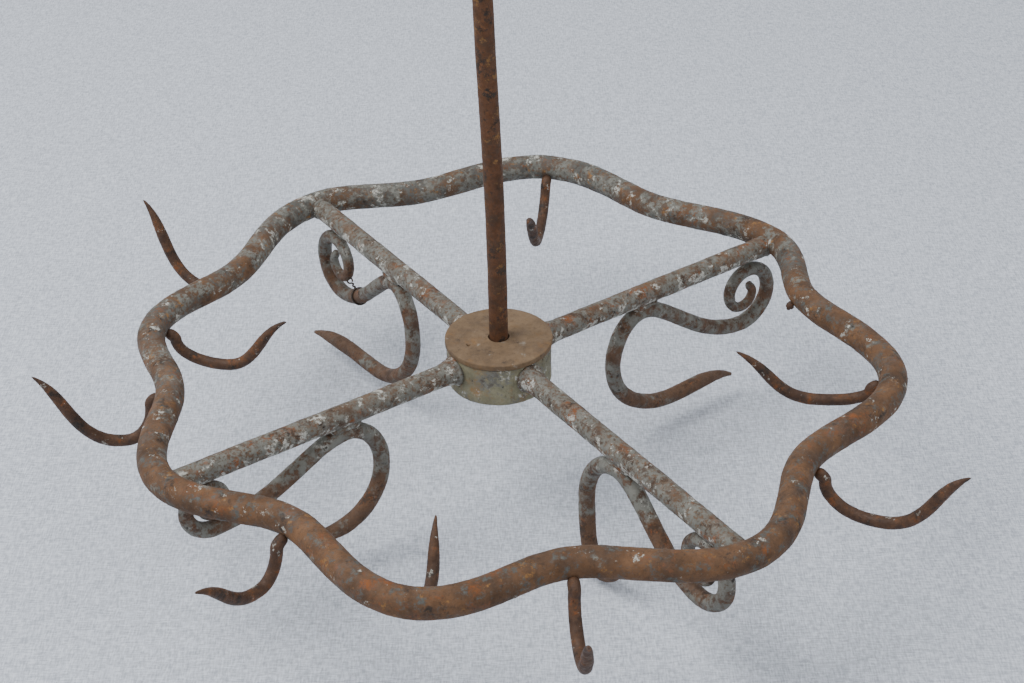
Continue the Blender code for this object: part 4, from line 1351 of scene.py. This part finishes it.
@dataclass
class HangingStem(Assembly):
    """Rod, its foot and washer, and the stirrup with its axle."""

    nodes: dict = field(default_factory=dict)

    def bow(self, height: float) -> float:
        """Sideways bow of the rod, none at its ends."""
        share = (height - PLATE_TOP) / ROD_DROP
        return 0.0 if not 0.0 < share < 1.0 else ROD_BOW * math.sin(math.pi * share) ** 3

    def build(self) -> None:
        """Forge the rod and turn the rest."""
        low = RING_LEVEL + PLATE_RISE - PLATE_THICK - SPIGOT_DEPTH - GAP
        foot_top = low - FOOT_WASHER_THICK - GAP
        foot = [(foot_top - 0.0085, 0.0066), (foot_top - 0.0075, 0.0095), (foot_top - 0.0055, 0.0115),
                (foot_top - 0.0020, 0.0118), (foot_top - 0.0006, 0.0112), (foot_top, 0.0075),
                (foot_top + 0.0004, ROD_BAR)]
        heights = [height for height, _ in foot]
        radii = [radius for _, radius in foot]
        steps = 260
        crown = CROWN_UNDER - GAP
        for index in range(1, steps + 1):
            heights.append(foot_top + 0.0004 + (crown - foot_top - 0.0004) * index / steps)
            radii.append(ROD_BAR)
        for rise, radius in ((0.0003, 0.0050), (0.0066, 0.0050), (0.0067, 0.0088), (0.0085, 0.0086),
                             (0.0105, 0.0066), (0.0118, 0.0040), (0.0123, 0.0006)):
            heights.append(crown + rise)
            radii.append(radius)
        path = [Vector((-self.bow(height), 0.0, height)) for height in heights]
        rod = self.bench.bar("hanging_rod", path, radii, "rod_rust", False, 28, 0.0005, 0.0005)
        self.keep(rod, "rod_rust", "rod")
        under = low - FOOT_WASHER_THICK
        washer = [(0.0071, under), (0.0150, under), (0.0150, low), (0.0071, low)]
        item = self.bench.lathe("foot_washer", washer, "worn_steel", Matrix.Identity(4), True, 0.0, 0.0001)
        self.keep(item, "worn_steel", "thrust_washer")
        self.keep(self.bench.softened("forged_stirrup", self.nodes["stirrup"], "block_iron", 0.0009),
                  "block_iron", "stirrup")
        self.build_axle()

    def build_axle(self) -> None:
        """Axle pin with its washers and cotter."""
        head = ARM_OUTER + GAP
        tip = head + SIDE_WASHER_THICK + 0.0090
        pin = [(0.0, -head - 0.0040), (0.0100, -head - 0.0040), (0.0100, -head), (AXLE_RADIUS, -head),
               (AXLE_RADIUS, tip - 0.0008), (AXLE_RADIUS - 0.0012, tip), (0.0, tip)]
        self.keep(self.bench.lathe("turned_axle", pin, "worn_steel", AXLE_FRAME, False, 0.0002, 0.0001),
                  "worn_steel", "axle_pin")
        inner = SHEAVE_HALF_WIDTH + GAP
        for name, node, start in (("near_washer", "sheave_washer_near", -inner - SIDE_WASHER_THICK),
                                  ("far_washer", "sheave_washer_far", inner),
                                  ("end_washer", "axle_end_washer", head)):
            end = start + SIDE_WASHER_THICK
            ring = [(AXLE_RADIUS + GAP, start), (SIDE_WASHER_RADIUS, start), (SIDE_WASHER_RADIUS, end),
                    (AXLE_RADIUS + GAP, end)]
            item = self.bench.lathe(name, ring, "worn_steel", AXLE_FRAME, True, 0.0, 0.0001)
            self.keep(item, "worn_steel", node)
        self.build_cotter()

    def build_cotter(self) -> None:
        """Cotter bent from wire, through the axle's free end."""
        bar = 0.0011
        place = ARM_OUTER + GAP + SIDE_WASHER_THICK + 2.0 * GAP + bar + 0.0010
        foot = GROOVE_RADIUS - AXLE_RADIUS - 0.0040
        head = GROOVE_RADIUS + AXLE_RADIUS + 0.0045
        path = curve_run(Vector((0.0050, place, foot - 0.0018)), Vector((0.0010, place, foot - 0.0016)),
                         Vector((0.0, place, foot)), Vector((0.0, place, foot + 0.0025)), 14)
        path += [Vector((0.0, place, foot + 0.0025 + (head - foot - 0.0025) * index / 14))
                 for index in range(1, 15)]
        for index in range(1, 41):
            angle = math.radians(300.0 * index / 40)
            path.append(Vector((0.0030 * (1.0 - math.cos(angle)), place, head + 0.0030 * math.sin(angle))))
        item = self.bench.bar("bent_cotter", path, arc_radii(path, bar, bar, bar, 0.0, 0.0), "worn_steel",
                              False, 14, 0.0, 0.0001)
        self.keep(item, "worn_steel", "cotter")


@dataclass
class PulleyWheel(Assembly):
    """The grooved sheave."""

    def build(self) -> None:
        """Turn the sheave about its axle."""
        rim = GROOVE_RADIUS + FLANGE_RISE
        ledge = GROOVE_RADIUS - 0.5 * ROPE_RADIUS
        side = [(AXLE_BORE, -SHEAVE_HALF_WIDTH), (BOSS_RADIUS, -SHEAVE_HALF_WIDTH),
                (BOSS_RADIUS, -WEB_HALF_WIDTH), (ledge, -WEB_HALF_WIDTH),
                (ledge, -RIM_HALF_WIDTH), (rim, -RIM_HALF_WIDTH),
                (rim, -RIM_HALF_WIDTH + 0.0020)]
        groove = []
        for index in range(13):
            angle = math.radians(-60.0 + 120.0 * index / 12)
            groove.append((GROOVE_RADIUS + ROPE_RADIUS * (1.0 - math.cos(angle)),
                           ROPE_RADIUS * math.sin(angle)))
        profile = side + groove + [(radius, -height) for radius, height in side[::-1]]
        self.keep(self.bench.lathe("turned_sheave", profile, "block_iron", AXLE_FRAME, True, 0.0005, 0.0004),
                  "block_iron", "sheave")


# ---------------------------------------------------------------- studio


class Studio:
    """Pale floor, soft light and the camera."""

    def __init__(self, floor_level: float) -> None:
        """Note the level the floor lies at."""
        self.floor_level = floor_level

    def linen(self) -> bpy.types.Material:
        """Pale grey-blue linen: two crossed weaves as bump, and a faint mottle.

        Returns:
            The finished material.
        """
        material = bpy.data.materials.new("linen_floor")
        material.use_nodes = True
        tree = material.node_tree
        shader = tree.nodes["Principled BSDF"]
        place = tree.nodes.new("ShaderNodeTexCoord").outputs["Object"]
        slub = noise(tree, stretched(tree, place, (150.0, 800.0, 1.0)), 1.0, 5.0, 0.65)
        cross = noise(tree, stretched(tree, place, (800.0, 150.0, 1.0)), 1.0, 5.0, 0.65)
        weave = math_node(tree, "ADD", math_node(tree, "MULTIPLY", slub, 0.5),
                          math_node(tree, "MULTIPLY", cross, 0.5))
        colour = ramp(tree, weave, ((0.40, (0.355, 0.380, 0.430)), (0.60, (0.665, 0.700, 0.770))))
        tree.links.new(colour, shader.inputs["Base Color"])
        shader.inputs["Roughness"].default_value = 0.95
        height = None
        for axis in ("X", "Y"):
            wave = tree.nodes.new("ShaderNodeTexWave")
            wave.bands_direction = axis
            wave.inputs["Scale"].default_value = 180.0
            wave.inputs["Distortion"].default_value = 1.2
            tree.links.new(place, wave.inputs["Vector"])
            band = wave.outputs["Fac"]
            height = band if height is None else math_node(tree, "ADD", height, band)
        bump = tree.nodes.new("ShaderNodeBump")
        bump.inputs["Strength"].default_value = 0.25
        bump.inputs["Distance"].default_value = 0.0004
        tree.links.new(height, bump.inputs["Height"])
        tree.links.new(bump.outputs["Normal"], shader.inputs["Normal"])
        return material

    def build(self) -> None:
        """Lay the floor, hang the lights and set the camera."""
        mesh = bpy.data.meshes.new("floor")
        corners = [(x * FLOOR_HALF, y * FLOOR_HALF, self.floor_level) for x, y in FLOOR_CORNERS]
        mesh.from_pydata(corners, [], [(0, 1, 2, 3)])
        mesh.materials.append(self.linen())
        floor = bpy.data.objects.new("floor", mesh)
        bpy.context.scene.collection.objects.link(floor)
        floor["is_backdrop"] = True
        world = bpy.data.worlds.new("studio")
        world.use_nodes = True
        world.node_tree.nodes["Background"].inputs["Color"].default_value = (0.93, 0.96, 1.0, 1.0)
        world.node_tree.nodes["Background"].inputs["Strength"].default_value = 0.92
        bpy.context.scene.world = world
        self.add_light("window", (-1.6, -0.3, 1.9), 1.8, 84.0)
        self.add_light("fill", (1.8, -1.4, 1.2), 1.8, 12.0)
        self.add_camera()

    def add_light(self, name: str, place: Triple, size: float, power: float) -> None:
        """A square soft light, aimed at the ring's centre.

        Args:
            name: name of the light.
            place: position of the light.
            size: side of the light, in metres.
            power: power of the light, in watts.
        """
        light = bpy.data.lights.new(name, "AREA")
        light.size = size
        light.energy = power
        item = bpy.data.objects.new(name, light)
        item.location = place
        aim = RING_CENTRE - Vector(place)
        item.rotation_euler = aim.to_track_quat("-Z", "Y").to_euler()
        bpy.context.scene.collection.objects.link(item)

    @staticmethod
    def add_camera() -> None:
        """Camera a little above the ring, looking down at it along +Y."""
        elevation = math.radians(CAMERA_ELEVATION)
        roll = math.radians(CAMERA_ROLL)
        back = Vector((0.0, -math.cos(elevation), math.sin(elevation)))
        right = Vector((1.0, 0.0, 0.0))
        up = back.cross(right)
        turned_right = right * math.cos(roll) + up * math.sin(roll)
        turned_up = up * math.cos(roll) - right * math.sin(roll)
        data = bpy.data.cameras.new("camera")
        data.lens = CAMERA_LENS
        data.sensor_width = CAMERA_SENSOR
        camera = bpy.data.objects.new("camera", data)
        turn = Matrix((turned_right, turned_up, back)).transposed().to_4x4()
        camera.matrix_world = Matrix.Translation(CAMERA_PLACE + RING_CENTRE) @ turn
        bpy.context.scene.collection.objects.link(camera)
        bpy.context.scene.camera = camera


def main() -> None:
    """Build the rack in order: ring, hooks, spokes, scrolls, hub, stem and pulley."""
    logging.basicConfig(level=logging.INFO, format="%(name)s %(message)s")
    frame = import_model()
    cad_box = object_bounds()
    bench = Bench()
    LobedRing(bench, "rack").build()
    PointedHooks(bench, "rack").build()
    Spokes(bench, "rack").build()
    ScrollHooks(bench, "rack").build()
    Hub(bench, "rack").build()
    HangingStem(bench, "stem", nodes=frame["nodes"]).build()
    PulleyWheel(bench, "sheave").build()
    Studio(cad_box[0].z - 0.001).build()


if __name__ == "__main__":
    main()
